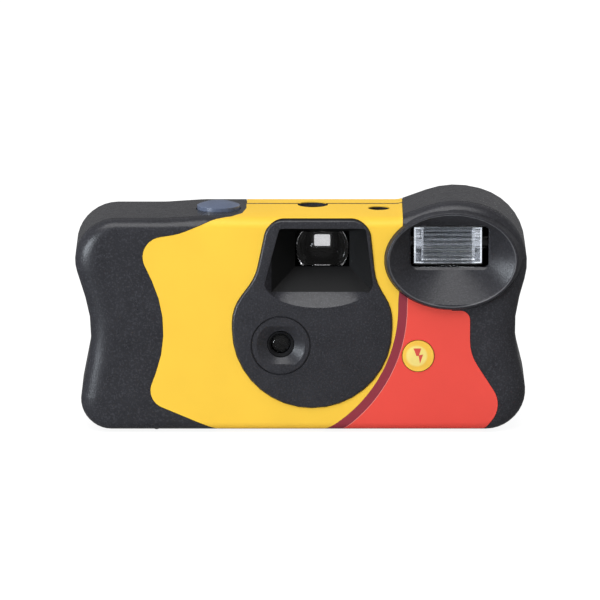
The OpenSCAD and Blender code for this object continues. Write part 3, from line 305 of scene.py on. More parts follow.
def worn_edges():
    """Mask of convex edges, broken up, where handling has polished a moulding."""
    if "Worn edges" in bpy.data.node_groups:
        return bpy.data.node_groups["Worn edges"]
    tree, inner, outer = group(
        "Worn edges",
        [("Start", "NodeSocketFloat", 0.52), ("Full", "NodeSocketFloat", 0.6)],
        [("Mask", "NodeSocketFloat")])
    patch_scale, patchy = 900.0, (0.35, 0.65)
    point = add(tree, "ShaderNodeNewGeometry").outputs["Pointiness"]
    ridge = ramp(tree, point, inner.outputs["Start"], inner.outputs["Full"])
    patches = noise(tree, object_place(tree), patch_scale, detail=4.0)
    broken = ramp(tree, patches, *patchy)
    tree.links.new(maths(tree, "MULTIPLY", ridge, broken), outer.inputs["Mask"])
    return tree


def use(tree, shared, inputs):
    return add(tree, "ShaderNodeGroup", inputs, node_tree=shared)


def new_material(name):
    """A new material, its node tree and the Principled shader in it."""
    material = bpy.data.materials.new(name)
    material.use_nodes = True
    tree = material.node_tree
    tree.nodes.clear()
    shader = tree.nodes.new("ShaderNodeBsdfPrincipled")
    output = tree.nodes.new("ShaderNodeOutputMaterial")
    tree.links.new(shader.outputs[0], output.inputs[0])
    return material, tree, shader


def shader_of(tree):
    return next(n for n in tree.nodes if n.type == "BSDF_PRINCIPLED")


def source(shader, name):
    """The socket that feeds one of a shader's inputs."""
    return shader.inputs[name].links[0].from_socket


def set_bump(tree, shader, height, strength, depth):
    bump = add(tree, "ShaderNodeBump", {"Height": height, "Strength": strength, "Distance": depth})
    tree.links.new(bump.outputs[0], shader.inputs["Normal"])


def moulded_plastic(name, tint, roughness, sparkle=1.0, worn=0.35, bump=None, specular=0.36):
    """Grained moulding whose convex edges are polished by handling."""
    finish = settings("shell_finish")
    pale_gain, pale_lift, polish, pit_depth = 1.5, 0.012, 0.25, 0.05 * MM
    material, tree, shader = new_material(name)
    grain = use(tree, moulded_grain(), {
        "Color": (*tint, 1), "Roughness": roughness, "Size": finish.grain_size,
        "Sparkle": sparkle})
    edges = use(tree, worn_edges(), {})
    paler = tuple(min(1.0, part * pale_gain + pale_lift) for part in tint)
    wear = maths(tree, "MULTIPLY", edges.outputs["Mask"], worn)
    tree.links.new(mix(tree, wear, grain.outputs["Color"], paler), shader.inputs["Base Color"])
    smoother = maths(tree, "MULTIPLY", wear, polish)
    tree.links.new(maths(tree, "SUBTRACT", grain.outputs["Roughness"], smoother, clamp=True),
                   shader.inputs["Roughness"])
    shader.inputs["Specular IOR Level"].default_value = specular
    set_bump(tree, shader, grain.outputs["Height"],
             finish.grain_depth if bump is None else bump, pit_depth)
    return material


def bare_metal(name, tint, roughness, streak=900.0, across=(1, 1, 0.05)):
    """Drawn or rolled metal with fine streaks, longest where across is least."""
    shade, dulling, streak_bump, streak_depth = 0.75, (0.8, 1.2), 0.08, 0.03 * MM
    material, tree, shader = new_material(name)
    drawn = vector(tree, "MULTIPLY", object_place(tree), across)
    lines = noise(tree, drawn, streak, detail=4.0)
    darker = tuple(part * shade for part in tint)
    tone = ramp(tree, lines, *NOISE_SPAN)
    tree.links.new(mix(tree, tone, darker, tint), shader.inputs["Base Color"])
    rough = ramp(tree, lines, *NOISE_SPAN, *(roughness * share for share in dulling))
    tree.links.new(rough, shader.inputs["Roughness"])
    shader.inputs["Metallic"].default_value = 1.0
    set_bump(tree, shader, lines, streak_bump, streak_depth)
    return material


def clear_plastic(name, tint, roughness=0.02, ior=ACRYLIC_IOR, flow=0.02):
    """Clear moulding with faint flow lines, or none."""
    flow_scale, flow_depth, haziest = 260.0, 0.05 * MM, 2
    material, tree, shader = new_material(name)
    lines = noise(tree, object_place(tree), flow_scale, detail=2.0)
    haze = ramp(tree, lines, *NOISE_SPAN, roughness, roughness * haziest)
    tree.links.new(haze, shader.inputs["Roughness"])
    shader.inputs["Base Color"].default_value = (*tint, 1)
    shader.inputs["Transmission Weight"].default_value = 1.0
    shader.inputs["IOR"].default_value = ior
    if flow:
        set_bump(tree, shader, lines, flow, flow_depth)
    return material


def smooth_by_angle():
    """Geometry nodes that join a CAD mesh's faces and shade it smooth between sharp edges."""
    name = "Smooth by angle"
    if name in bpy.data.node_groups:
        return bpy.data.node_groups[name]
    sharpest, weld = math.radians(32), 0.002 * MM
    tree = bpy.data.node_groups.new(name, "GeometryNodeTree")
    tree.interface.new_socket("Geometry", in_out="INPUT", socket_type="NodeSocketGeometry")
    limit = tree.interface.new_socket("Angle", in_out="INPUT", socket_type="NodeSocketFloat")
    limit.default_value = sharpest
    tree.interface.new_socket("Geometry", in_out="OUTPUT", socket_type="NodeSocketGeometry")
    inner, outer = tree.nodes.new("NodeGroupInput"), tree.nodes.new("NodeGroupOutput")
    plain = add(tree, "GeometryNodeRemoveAttribute", {
        "Geometry": inner.outputs["Geometry"], "Name": "custom_normal"})
    joined = add(tree, "GeometryNodeMergeByDistance", {
        "Geometry": plain.outputs[0], "Distance": weld})
    smooth = add(tree, "GeometryNodeSetShadeSmooth", {
        "Geometry": joined.outputs[0], "Shade Smooth": True}, domain="FACE")
    fold = add(tree, "GeometryNodeInputMeshEdgeAngle")
    sharp = add(tree, "FunctionNodeCompare", {
        0: fold.outputs[0], 1: inner.outputs["Angle"]}, operation="GREATER_THAN")
    edged = add(tree, "GeometryNodeSetShadeSmooth", {
        "Geometry": smooth.outputs[0], "Selection": sharp.outputs[0], "Shade Smooth": False},
        domain="EDGE")
    tree.links.new(edged.outputs[0], outer.inputs["Geometry"])
    return tree


def dress(material, *nodes):
    """Gives CAD nodes their material and smooth shading."""
    for node in nodes:
        piece = NODES[node]
        piece.data.materials.clear()
        piece.data.materials.append(material)
        smoothing = piece.modifiers.new("Smooth by angle", "NODES")
        smoothing.node_group = smooth_by_angle()


def flat_print(name, outlines, y, body, material):
    """Thin printed shape on a face that looks towards -Y: outlines of (x, z) points in metres."""
    points, faces = [], []
    for outline in outlines:
        first = len(points)
        points += [(x, y, z) for x, z in outline]
        faces.append(list(range(first, len(points))))
    piece = link(name, new_mesh(name, points, faces, material))
    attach(piece, body)


class CAMERA_OT_covers(bpy.types.Operator):
    """Grained black plastic of both covers and the film door"""

    bl_idname = "film_camera.covers"
    bl_label = "Covers"

    def execute(self, context):
        finish = settings("shell_finish")
        black = moulded_plastic("Black moulding", finish.black, finish.gloss_roughness)
        dress(black, "rear_cover", "film_door")
        dress(self.front_moulding(finish), "front_cover")
        return {"FINISHED"}

    def front_moulding(self, finish):
        """The grained moulding, with a plain matt funnel painted darker as painted shade, and a
        paler edge round the flash dish that is a painted highlight.
        """
        material = moulded_plastic("Front moulding", finish.black, finish.gloss_roughness)
        tree = material.node_tree
        shader = shader_of(tree)
        place = axes(tree, object_place(tree))
        funnel = self.funnel(tree, place, finish)
        rim, turned = self.flash_dish(tree, place, finish)
        # The funnel gets painted shade and the dish's edge a painted highlight.
        black = mix(tree, funnel, source(shader, "Base Color"), finish.funnel)
        tree.links.new(mix(tree, rim, black, finish.rim), shader.inputs["Base Color"])
        rough = source(shader, "Roughness")
        duller = maths(tree, "SUBTRACT", finish.funnel_roughness, rough)
        tree.links.new(maths(tree, "ADD", rough, maths(tree, "MULTIPLY", funnel, duller)),
                       shader.inputs["Roughness"])
        bump = shader.inputs["Normal"].links[0].from_node
        grained = maths(tree, "SUBTRACT", 1.0, funnel)
        tree.links.new(maths(tree, "MULTIPLY", grained, finish.grain_depth),
                       bump.inputs["Strength"])
        tree.links.new(turned, bump.inputs["Normal"])
        return material

    def funnel(self, tree, place, finish):
        """Mask of the funnel in front of the finder, and of what lies deeper than the scoop: there
        the moulding gets painted shade, is matt and has no grain.
        """
        edge_depth = 0.35 * MM
        x, y, z = place
        finder = middle("finder_front_lens")
        aside = maths(tree, "ABSOLUTE", maths(tree, "SUBTRACT", x, finder.x))
        between = maths(tree, "LESS_THAN", aside, finish.funnel_width / 2)
        rise = maths(tree, "SUBTRACT", z, finder.z)
        above = maths(tree, "GREATER_THAN", rise, -finish.funnel_drop)
        sunk = maths(tree, "GREATER_THAN", y, PANEL_FACE + edge_depth)
        deep = maths(tree, "GREATER_THAN", y, PANEL_FACE + finish.scoop_depth)
        inside = maths(tree, "MAXIMUM", maths(tree, "MULTIPLY", above, sunk), deep)
        return maths(tree, "MULTIPLY", inside, between)

    def flash_dish(self, tree, place, finish):
        """Mask of the dish's edge, which gets a painted highlight, and the normal with its wall
        turned into an even cone.
        """
        rim_share, rim_depth, throat_depth, least_reach = 0.014, 0.3 * MM, 1.05 * MM, 0.2
        x, y, z = place
        centre = middle("flash_lens") + Vector((1.1, 0, -2.8)) * MM
        aside = maths(tree, "DIVIDE", maths(tree, "SUBTRACT", x, centre.x), finish.dish_width / 2)
        rise = maths(tree, "DIVIDE", maths(tree, "SUBTRACT", z, centre.z), finish.dish_height / 2)
        reach = radius_of(tree, aside, rise)
        off = maths(tree, "ABSOLUTE", maths(tree, "SUBTRACT", reach, 1.0))
        # Ring along the dish's edge that carries the painted highlight.
        rim = maths(tree, "SUBTRACT", 1.0, maths(tree, "DIVIDE", off, rim_share), clamp=True)
        sunk = maths(tree, "GREATER_THAN", y, DISH_RIM + rim_depth)
        open_wall = maths(tree, "LESS_THAN", y, FLASH_FACE - throat_depth)
        wall = maths(tree, "MULTIPLY", maths(tree, "LESS_THAN", reach, 1.0),
                     maths(tree, "MULTIPLY", sunk, open_wall))
        tilt = maths(tree, "DIVIDE", -finish.dish_slope,
                     maths(tree, "MAXIMUM", reach, least_reach))
        flatter = maths(tree, "MULTIPLY", aside, maths(tree, "ABSOLUTE", aside))
        cone = add(tree, "ShaderNodeCombineXYZ", {
            "X": maths(tree, "MULTIPLY", flatter, tilt), "Y": -1.0,
            "Z": maths(tree, "MULTIPLY", rise, tilt)})
        even = add(tree, "ShaderNodeVectorMath", {0: cone.outputs[0]}, operation="NORMALIZE")
        plain = add(tree, "ShaderNodeNewGeometry").outputs["Normal"]
        kept = scaled(tree, plain, maths(tree, "SUBTRACT", 1.0, wall))
        turned = scaled(tree, even.outputs[0], wall)
        return rim, vector(tree, "ADD", kept, turned)


class CAMERA_OT_labels(bpy.types.Operator):
    """Printed label: a plain field, a curved stripe and a plain corner"""

    bl_idname = "film_camera.labels"
    bl_label = "Labels"

    def execute(self, context):
        fibre_scale, fibre_bump, fibre_depth, satin = 2600.0, 0.05, 0.02 * MM, (0.34, 0.46)
        cloud_scale, clouded, specular = 60.0, (0.975, 1.02), 0.15
        material, tree, shader = new_material("Printed label")
        place = object_place(tree)
        fibre = noise(tree, place, fibre_scale, detail=3.0)
        cloud = noise(tree, place, cloud_scale, detail=2.0)
        level = ramp(tree, cloud, *NOISE_SPAN, *clouded)
        tree.links.new(scaled(tree, self.zones(tree, place), level), shader.inputs["Base Color"])
        tree.links.new(ramp(tree, fibre, *NOISE_SPAN, *satin), shader.inputs["Roughness"])
        shader.inputs["Specular IOR Level"].default_value = specular
        set_bump(tree, shader, fibre, fibre_bump, fibre_depth)
        dress(material, "front_label", "rear_label")
        return {"FINISHED"}

    def zones(self, tree, place):
        """Colours of the field, the stripe, the fine line along it and the corner beyond."""
        ink = settings("label_print")
        x, _, z = axes(tree, place)
        across = maths(tree, "SUBTRACT", x, ink.sweep_x)
        height = maths(tree, "SUBTRACT", z, ink.sweep_z)
        below = maths(tree, "MINIMUM", height, 0.0)
        rise = maths(tree, "MAXIMUM", height, 0.0)
        lean = maths(tree, "MULTIPLY", maths(tree, "MULTIPLY", rise, rise), ink.lean)
        reach = maths(tree, "SUBTRACT", radius_of(tree, across, below),
                      maths(tree, "ADD", lean, ink.sweep_radius))
        right = maths(tree, "GREATER_THAN", across, 0.0)
        starts = (0.0, ink.stripe_width, ink.stripe_width + ink.line_width)
        past_field, past_stripe, past_line = (
            maths(tree, "MULTIPLY", maths(tree, "GREATER_THAN", reach, start), right)
            for start in starts)
        banded = mix(tree, past_field, ink.field, ink.stripe)
        cornered = mix(tree, past_stripe, banded, ink.corner)
        line = maths(tree, "SUBTRACT", past_stripe, past_line)
        return mix(tree, line, cornered, ink.line)


# The bolt's two facets: across and up from the key's middle, in tenths of the bolt's height.
BOLT_FACETS = (((-3.0, 5.0), (-1.1, 0.0), (0.4, 0.0), (2.0, 5.0)),
               ((0.3, 0.4), (3.2, 1.0), (1.2, -5.0)))


class CAMERA_OT_keys(bpy.types.Operator):
    """Shutter button, and the flash key with its printed disc and bolt"""

    bl_idname = "film_camera.keys"
    bl_label = "Keys"

    def execute(self, context):
        finish, ink = settings("shell_finish"), settings("key_print")
        # The button's strong pale edge is partly wear and partly a painted highlight on its
        # rounded rim.
        slate = moulded_plastic("Slate moulding", finish.slate, roughness=0.36, sparkle=0.12,
                                worn=0.6, bump=0.15, specular=0.5)
        dress(slate, "shutter_button")
        dress(self.key_face(ink), "flash_button")
        bolt = moulded_plastic("Bolt ink", ink.bolt, roughness=0.45, sparkle=0.05, worn=0.0,
                               bump=0.05)
        centre, face = middle("flash_button"), corners("flash_button")[0].y
        unit = ink.bolt_height / 10
        outlines = [[(centre.x + x * unit, centre.z + z * unit) for x, z in facet]
                    for facet in BOLT_FACETS]
        flat_print("flash_bolt", outlines, face - PRINT_GAP, "flash_button", bolt)
        return {"FINISHED"}

    def key_face(self, ink):
        """Rim colour with a paler disc, both from the distance to the disc's axis."""
        disc_shift, disc_edge = 0.4 * MM, (2.5 * MM, 3.0 * MM)
        roughness, grain_size, sparkle = 0.4, 0.2 * MM, 0.03
        grain_bump, grain_depth = 0.05, 0.02 * MM
        material, tree, shader = new_material("Flash key print")
        centre = middle("flash_button")
        flat = vector(tree, "MULTIPLY", object_place(tree), (1, 0, 1))
        far = add(tree, "ShaderNodeVectorMath", {
            0: flat, 1: (centre.x - disc_shift, 0, centre.z)}, operation="DISTANCE")
        pale = ramp(tree, far.outputs["Value"], *disc_edge, 1.0, 0.0)
        grain = use(tree, moulded_grain(), {
            "Color": mix(tree, pale, ink.rim, ink.disc), "Roughness": roughness,
            "Size": grain_size, "Sparkle": sparkle})
        tree.links.new(grain.outputs["Color"], shader.inputs["Base Color"])
        tree.links.new(grain.outputs["Roughness"], shader.inputs["Roughness"])
        set_bump(tree, shader, grain.outputs["Height"], grain_bump, grain_depth)
        return material


class CAMERA_OT_optics(bpy.types.Operator):
    """Lenses, flash window, tube and reflector"""

    bl_idname = "film_camera.optics"
    bl_label = "Optics"

    def execute(self, context):
        clear = clear_plastic("Clear acrylic", (0.97, 0.98, 0.99), flow=0.0)
        dress(clear, "taking_lens")
        # The grey tint is painted shade: it dims the white seen through the finder.
        finder = clear_plastic("Finder acrylic", (0.72, 0.72, 0.73), roughness=0.005, flow=0.0)
        dress(finder, "finder_front_lens", "finder_eyepiece")
        self.finder_objective(finder)
        ribbed = clear_plastic("Ribbed acrylic", (0.93, 0.96, 0.99), roughness=0.03)
        dress(ribbed, "flash_lens")
        tube = clear_plastic("Tube glass", (0.98, 0.98, 1.0), roughness=0.01, ior=GLASS_IOR)
        dress(tube, "flash_tube")
        dress(self.trough(), "flash_reflector")
        tinted = clear_plastic("Tinted light pipe", (0.45, 0.18, 0.05), roughness=0.1)
        dress(tinted, "ready_light_pipe")
        bulb = clear_plastic("Lamp glass", (0.9, 0.5, 0.25), roughness=0.05, ior=GLASS_IOR)
        dress(bulb, "ready_lamp")
        ring = moulded_plastic("Satin black", (0.01, 0.01, 0.011), roughness=0.42, sparkle=0.1,
                               worn=0.4, specular=0.15)
        dress(ring, "lens_retainer")
        return {"FINISHED"}

    def finder_objective(self, material):
        """Front lens of the finder, hollowed towards the eye, its round edge cut to a window."""
        low, high = corners("finder_front_lens")
        centre = (low + high) / 2
        clearance, least = 0.15 * MM, 1e-6
        half_width = (high.x - low.x) / 2 - clearance
        half_height = (high.z - low.z) / 2 - clearance
        edge, curve, hollow, thinnest = 7.0 * MM, 12.0 * MM, 6.0 * MM, 0.38 * MM
        rings, around = 24, 128
        points = [(centre.x, low.y + thinnest, centre.z)]
        outline = []
        for step in range(around):
            turn = math.tau * step / around
            across, up = math.cos(turn), math.sin(turn)
            reach = min(edge, half_width / max(abs(across), least),
                        half_height / max(abs(up), least))
            outline.append((across, up, reach))
        for ring in range(1, rings + 1):
            for across, up, reach in outline:
                far = reach * ring / rings
                sag = curve - math.sqrt(curve ** 2 - min(far, hollow) ** 2)
                points.append((centre.x + far * across, low.y + thinnest + sag,
                               centre.z + far * up))
        points += [(centre.x + reach * across, low.y, centre.z + reach * up)
                   for across, up, reach in outline]
        faces = []
        for step in range(around):
            after = (step + 1) % around
            faces.append([0, 1 + after, 1 + step])
            for ring in range(rings - 1):
                inner, outer = 1 + ring * around, 1 + (ring + 1) * around
                faces.append([inner + step, inner + after, outer + after, outer + step])
        smooth = len(faces)
        last, front = 1 + (rings - 1) * around, 1 + rings * around
        for step in range(around):
            after = (step + 1) % around
            faces.append([front + step, last + step, last + after, front + after])
        faces.append([front + step for step in range(around)])
        mesh = new_mesh("finder_objective", points, faces, material)
        mesh.polygons.foreach_set("use_smooth", [i < smooth for i in range(len(faces))])
        lens = link("finder_objective", mesh)
        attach(lens, "camera")
        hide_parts("finder_front_lens")

    def trough(self):
        """Rolled metal, grey behind the tube, with bright creased ends and a satin lower lip: the
        grey and the bright foil are painted shade and painted reflections on one metal.
        """
        end_width, lip_height, lip_roughness, crease_scale = 2.4 * MM, 3.2 * MM, 0.5, 420.0
        # Foil tones of the ends and the lip: painted reflections, in lit and shaded facets.
        shaded_foil, glare_foil = (0.55, 0.56, 0.58), (0.96, 0.96, 0.97)
        # The dark grey of the rest of the trough is painted shade on the same metal.
        material = bare_metal("Bright trough", (0.2, 0.21, 0.23), roughness=0.14, streak=700.0,
                              across=(0.1, 1, 1))
        tree = material.node_tree
        shader = shader_of(tree)
        low, high = corners("flash_reflector")
        place = object_place(tree)
        x, _, z = axes(tree, place)
        aside = maths(tree, "ABSOLUTE", maths(tree, "SUBTRACT", x, (low.x + high.x) / 2))
        ends = maths(tree, "GREATER_THAN", aside, (high.x - low.x) / 2 - end_width)
        lip = maths(tree, "LESS_THAN", z, low.z + lip_height)
        creases = add(tree, "ShaderNodeTexVoronoi", {"Vector": place, "Scale": crease_scale})
        tone = add(tree, "ShaderNodeSeparateColor", {0: creases.outputs["Color"]}).outputs[0]
        foil = mix(tree, tone, shaded_foil, glare_foil)
        # The ends and the lip get the painted reflections.
        bright = maths(tree, "MAXIMUM", ends, lip)
        tree.links.new(mix(tree, bright, source(shader, "Base Color"), foil),
                       shader.inputs["Base Color"])
        satin = maths(tree, "MULTIPLY", maths(tree, "SUBTRACT", lip, ends, clamp=True),
                      lip_roughness)
        tree.links.new(maths(tree, "MAXIMUM", source(shader, "Roughness"), satin),
                       shader.inputs["Roughness"])
        return material


class CAMERA_OT_winding(bpy.types.Operator):
    """Thumbwheel, counter, film and cartridge"""

    bl_idname = "film_camera.winding"
    bl_label = "Winding"

    numerals: bpy.props.IntProperty(
        name="Numerals", description="Numbers printed round the counter", default=9)

    def execute(self, context):
        finish = settings("shell_finish")
        wheel = moulded_plastic("Wheel moulding", finish.black, roughness=0.38, sparkle=0.2,
                                worn=0.6)
        dress(wheel, "thumbwheel")
        spool = moulded_plastic("Spool moulding", (0.012, 0.012, 0.013), roughness=0.35,
                                sparkle=0.1)
        dress(spool, "cartridge_spool")
        pale = moulded_plastic("Pale acetal", linear(226, 223, 214), roughness=0.38,
                               sparkle=0.03, worn=0.2, bump=0.08)
        dress(pale, "counter_dial", "sprocket_wheel", "supply_core", "release_lever",
              "striker_lever")
        lacquer = moulded_plastic("Can lacquer", linear(214, 214, 210), roughness=0.25,
                                  sparkle=0.02, bump=0.03)
        dress(lacquer, "cartridge_can")
        steel = bare_metal("Bright steel", (0.62, 0.62, 0.63), roughness=0.28)
        dress(steel, "cartridge_end_caps", "button_spring", "striker_spring", "blade_spring")
        self.button_coil(steel)
        film = moulded_plastic("Film emulsion", linear(92, 66, 60), roughness=0.3, sparkle=0.02,
                               worn=0.0, bump=0.02)
        dress(film, "film_strip", "film_supply_roll")
        self.print_numerals()
        return {"FINISHED"}

    def button_coil(self, material):
        """Coil under the shutter button, in the box of the CAD spring, which it replaces."""
        low, high = corners("button_spring")
        centre = (low + high) / 2
        wire = 0.175 * MM
        radius = (high.x - low.x) / 2 - wire
        turns, around, sides = 3, 24, 8
        count = turns * around
        points = []
        for step in range(count + 1):
            turn = math.tau * step / around
            height = low.z + wire + (high.z - low.z - 2 * wire) * step / count
            for side in range(sides):
                tilt = math.tau * side / sides
                reach = radius + wire * math.cos(tilt)
                points.append((centre.x + reach * math.cos(turn),
                               centre.y + reach * math.sin(turn),
                               height + wire * math.sin(tilt)))
        faces = []
        for step in range(count):
            near, far = step * sides, (step + 1) * sides
            for side in range(sides):
                after = (side + 1) % sides
                faces.append([near + side, far + side, far + after, near + after])
        faces += [list(range(sides)), list(reversed(range(count * sides, (count + 1) * sides)))]
        mesh = new_mesh("button_coil", points, faces, material)
        mesh.polygons.foreach_set("use_smooth", [True] * len(faces))
        coil = link("button_coil", mesh)
        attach(coil, "camera")
        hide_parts("button_spring")
        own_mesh(coil)

    def print_numerals(self):
        """Numbers on the top of the counter dial, read from outside."""
        frames_apart, size, inset = 3, 2.4 * MM, 2.6 * MM
        ink = moulded_plastic("Numeral ink", (0.01, 0.01, 0.012), roughness=0.5, sparkle=0.02,
                              worn=0.0, bump=0.02)
        low, high = corners("counter_dial")
        centre = (low + high) / 2
        radius = (high.x - low.x) / 2 - inset
        for i in range(self.numerals):
            turn = math.tau * i / self.numerals
            words = bpy.data.curves.new(f"counter_numeral_{i}", "FONT")
            words.body = str(frames_apart * i)
            words.size = size
            words.align_x, words.align_y = "CENTER", "CENTER"
            words.materials.append(ink)
            piece = link(words.name, words)
            piece.location = (centre.x + radius * math.cos(turn),
                              centre.y + radius * math.sin(turn), high.z + PRINT_GAP)
            piece.rotation_euler = (0, 0, turn + math.pi / 2)
            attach(piece, "counter")


class CAMERA_OT_inside(bpy.types.Operator):
    """Frame, shutter and flash circuit behind the covers"""

    bl_idname = "film_camera.inside"
    bl_label = "Inside"

    def execute(self, context):
        matt = moulded_plastic("Matt black", (0.006, 0.006, 0.007), roughness=0.6, sparkle=0.2,
                               worn=0.15, specular=0.0)
        dress(matt, "main_frame", "keeper_plate", "aperture_plate")
        blade = moulded_plastic("Blackened steel", (0.01, 0.01, 0.011), roughness=0.5,
                                sparkle=0.1, bump=0.1, specular=0.05)
        dress(blade, "shutter_blade")
        brass = bare_metal("Bright brass", (0.78, 0.6, 0.26), roughness=0.25)
        dress(brass, "sync_contacts", "flash_switch_leaf", "battery_contacts")
        dress(self.board(), "flash_circuit_board")
        sleeve = moulded_plastic("Shrink sleeve", linear(38, 40, 58), roughness=0.22,
                                 sparkle=0.02, bump=0.05)
        dress(sleeve, "flash_capacitor", "circuit_components")
        copper = bare_metal("Copper winding", (0.72, 0.38, 0.2), roughness=0.3, streak=2200.0,
                            across=(0.05, 0.05, 1))
        dress(copper, "flash_transformer", "trigger_coil")
        cell = bare_metal("Cell wrap", (0.55, 0.42, 0.2), roughness=0.3, streak=500.0,
                          across=(0.05, 1, 1))
        dress(cell, "battery")
        return {"FINISHED"}

    def board(self):
        """Green coating over darker and lighter copper runs."""
        run_scale, run_edge, run_bump, run_depth = 260.0, (0.35, 0.45), 0.2, 0.04 * MM
        dark_green, light_green, roughness = (0.02, 0.12, 0.04), (0.05, 0.26, 0.09), 0.25
        material, tree, shader = new_material("Coated board")
        runs = add(tree, "ShaderNodeTexVoronoi", {
            "Vector": object_place(tree), "Scale": run_scale}, distance="MANHATTAN", feature="F1")
        lines = ramp(tree, runs.outputs["Distance"], *run_edge)
        tree.links.new(mix(tree, lines, dark_green, light_green), shader.inputs["Base Color"])
        shader.inputs["Roughness"].default_value = roughness
        set_bump(tree, shader, lines, run_bump, run_depth)
        return material


SKY_TOWARDS, SKY_SPREAD = (-0.15, -0.36, 0.92), math.radians(55)
COOL = (0.86, 0.93, 1.0)
# Name, place from the point that the camera looks at, diameter, colour, whether gloss shows it.
LAMPS = (
    ("Left", (-0.58, -0.46, 0.05), 0.3, COOL, True),
    ("Right", (0.7, -0.25, 0.35), 0.5, WHITE, True),
    ("Front", (0.1, -0.62, 0.78), 0.5, WHITE, True),
    ("Back", (0.45, 0.75, 0.3), 0.5, WHITE, False),
)


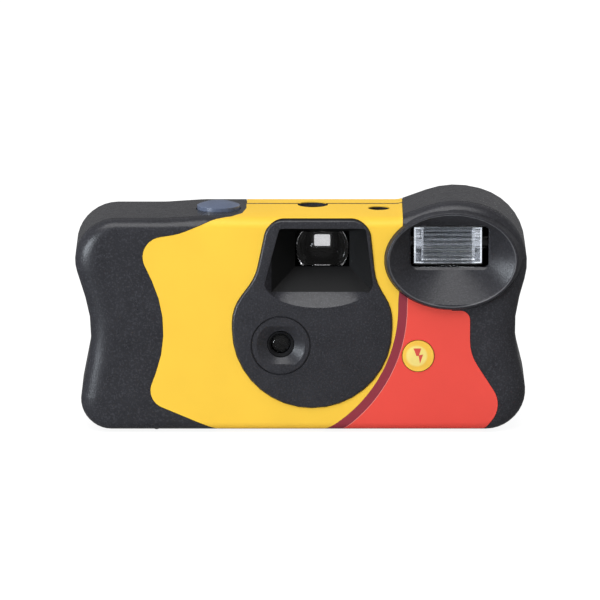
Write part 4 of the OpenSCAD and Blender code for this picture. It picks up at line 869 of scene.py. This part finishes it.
class CAMERA_OT_studio(bpy.types.Operator):
    """Pale floor, soft lamps, white surroundings and the camera"""

    bl_idname = "film_camera.studio"
    bl_label = "Studio"

    def execute(self, context):
        setup = settings("studio_setup")
        self.floor(setup)
        self.surroundings(setup)
        aim = Vector((setup.aim_x, LABEL_FACE, setup.aim_z))
        self.sky(setup.sky_power)
        for name, offset, size, tint, in_gloss in LAMPS:
            power = getattr(setup, f"{name.lower()}_power")
            lamp = self.lamp(name, aim, offset, size, power, tint)
            lamp.visible_glossy = in_gloss
        self.camera(setup, aim)
        context.scene.view_settings.view_transform = "Standard"
        return {"FINISHED"}

    def floor(self, setup):
        """Large pale floor, clear from below, white to the camera but for a soft shadow."""
        size, pale, roughness = 6.0, (0.6, 0.6, 0.6, 1), 0.9
        material, tree, shader = new_material("Pale floor")
        shader.inputs["Base Color"].default_value = pale
        shader.inputs["Roughness"].default_value = roughness
        shown, gloss = self.background_rays(tree)
        share = maths(tree, "MAXIMUM", maths(tree, "MULTIPLY", shown, setup.floor_share), gloss)
        level = maths(tree, "MAXIMUM", maths(tree, "MULTIPLY", shown, setup.floor_glow),
                      maths(tree, "MULTIPLY", gloss, setup.gloss_share))
        glow = add(tree, "ShaderNodeEmission", {"Color": (*WHITE, 1), "Strength": level})
        blend = add(tree, "ShaderNodeMixShader", {
            0: share, 1: shader.outputs[0], 2: glow.outputs[0]})
        below = add(tree, "ShaderNodeNewGeometry").outputs["Backfacing"]
        clear = add(tree, "ShaderNodeBsdfTransparent")
        sides = add(tree, "ShaderNodeMixShader", {
            0: below, 1: blend.outputs[0], 2: clear.outputs[0]})
        output = next(n for n in tree.nodes if n.type == "OUTPUT_MATERIAL")
        tree.links.new(sides.outputs[0], output.inputs[0])
        square = [(-size, -size, 0), (size, -size, 0), (size, size, 0), (-size, size, 0)]
        plane = link("floor", new_mesh("floor", square, [(0, 1, 2, 3)], material))

    def background_rays(self, tree):
        """Masks of rays that show the background, straight or through glass, and in gloss.

        A ray that was reflected inside a lens doesn't show it, unless it has passed more than
        two faces.
        """
        under_one, over_two = 0.5, 2.5
        path = add(tree, "ShaderNodeLightPath")
        straight = maths(tree, "LESS_THAN", path.outputs["Diffuse Depth"], under_one)
        unbroken = maths(tree, "LESS_THAN", path.outputs["Glossy Depth"], under_one)
        returned = maths(tree, "GREATER_THAN", path.outputs["Transmission Depth"], over_two)
        clean = maths(tree, "MULTIPLY", straight, maths(tree, "MAXIMUM", unbroken, returned))
        through = maths(tree, "MULTIPLY", path.outputs["Is Transmission Ray"], clean)
        shown = maths(tree, "MAXIMUM", path.outputs["Is Camera Ray"], through)
        return shown, path.outputs["Is Glossy Ray"]

    def surroundings(self, setup):
        world = bpy.data.worlds.new("Studio")
        world.use_nodes = True
        tree = world.node_tree
        tree.nodes.clear()
        shown, gloss = self.background_rays(tree)
        level = maths(tree, "MAXIMUM", shown, maths(tree, "MULTIPLY", gloss, setup.gloss_share))
        level = maths(tree, "MAXIMUM", level, setup.ambient)
        light = add(tree, "ShaderNodeBackground", {"Color": (*WHITE, 1), "Strength": level})
        output = tree.nodes.new("ShaderNodeOutputWorld")
        tree.links.new(light.outputs[0], output.inputs[0])
        bpy.context.scene.world = world

    def sky(self, strength):
        light = bpy.data.lights.new("Sky", "SUN")
        light.angle = SKY_SPREAD
        light.energy = strength
        lamp = link("Sky", light)
        lamp.rotation_euler = Vector(SKY_TOWARDS).to_track_quat("Z", "Y").to_euler()

    def lamp(self, name, aim, offset, size, power, tint):
        light = bpy.data.lights.new(name, "AREA")
        light.shape = "DISK"
        light.size = size
        light.energy = power
        light.color = tint
        lamp = link(name, light)
        lamp.location = aim + Vector(offset)
        lamp.rotation_euler = Vector(offset).to_track_quat("Z", "Y").to_euler()
        return lamp

    def camera(self, setup, aim):
        sensor_width, nearest = 36, 0.01
        lens = bpy.data.cameras.new("Camera")
        lens.sensor_width = sensor_width
        lens.lens = sensor_width * setup.distance / setup.view_width
        lens.clip_start = nearest
        body = link("Camera", lens)
        away = Vector((0, -math.cos(setup.elevation), math.sin(setup.elevation)))
        body.location = aim + away * setup.distance
        body.rotation_euler = away.to_track_quat("Z", "Y").to_euler()
        bpy.context.scene.camera = body


STEPS = (CAMERA_OT_covers, CAMERA_OT_labels, CAMERA_OT_keys, CAMERA_OT_optics, CAMERA_OT_winding,
         CAMERA_OT_inside, CAMERA_OT_studio)
GROUPS = {"shell_finish": ShellFinish, "label_print": LabelPrint, "key_print": KeyPrint,
          "studio_setup": StudioSetup}


class CAMERA_PT_film_camera(bpy.types.Panel):
    """Sizes and colours of the film camera, and the steps that dress it."""

    bl_label = "Film camera"
    bl_idname = "CAMERA_PT_film_camera"
    bl_space_type = "VIEW_3D"
    bl_region_type = "UI"
    bl_category = "Film camera"

    def draw(self, context):
        for name, kind in GROUPS.items():
            box = self.layout.box()
            box.label(text=name.replace("_", " ").capitalize())
            for key in kind.__annotations__:
                box.prop(getattr(context.scene, name), key)
        for step in STEPS:
            self.layout.operator(step.bl_idname)


CLASSES = (*GROUPS.values(), *STEPS, CAMERA_PT_film_camera)


def register():
    for item in CLASSES:
        bpy.utils.register_class(item)
    for name, kind in GROUPS.items():
        setattr(bpy.types.Scene, name, bpy.props.PointerProperty(type=kind))


def unregister():
    for name in GROUPS:
        delattr(bpy.types.Scene, name)
    for item in reversed(CLASSES):
        bpy.utils.unregister_class(item)


def main():
    register()
    for step in STEPS:
        area, name = step.bl_idname.split(".")
        getattr(getattr(bpy.ops, area), name)()


if __name__ == "__main__":
    main()
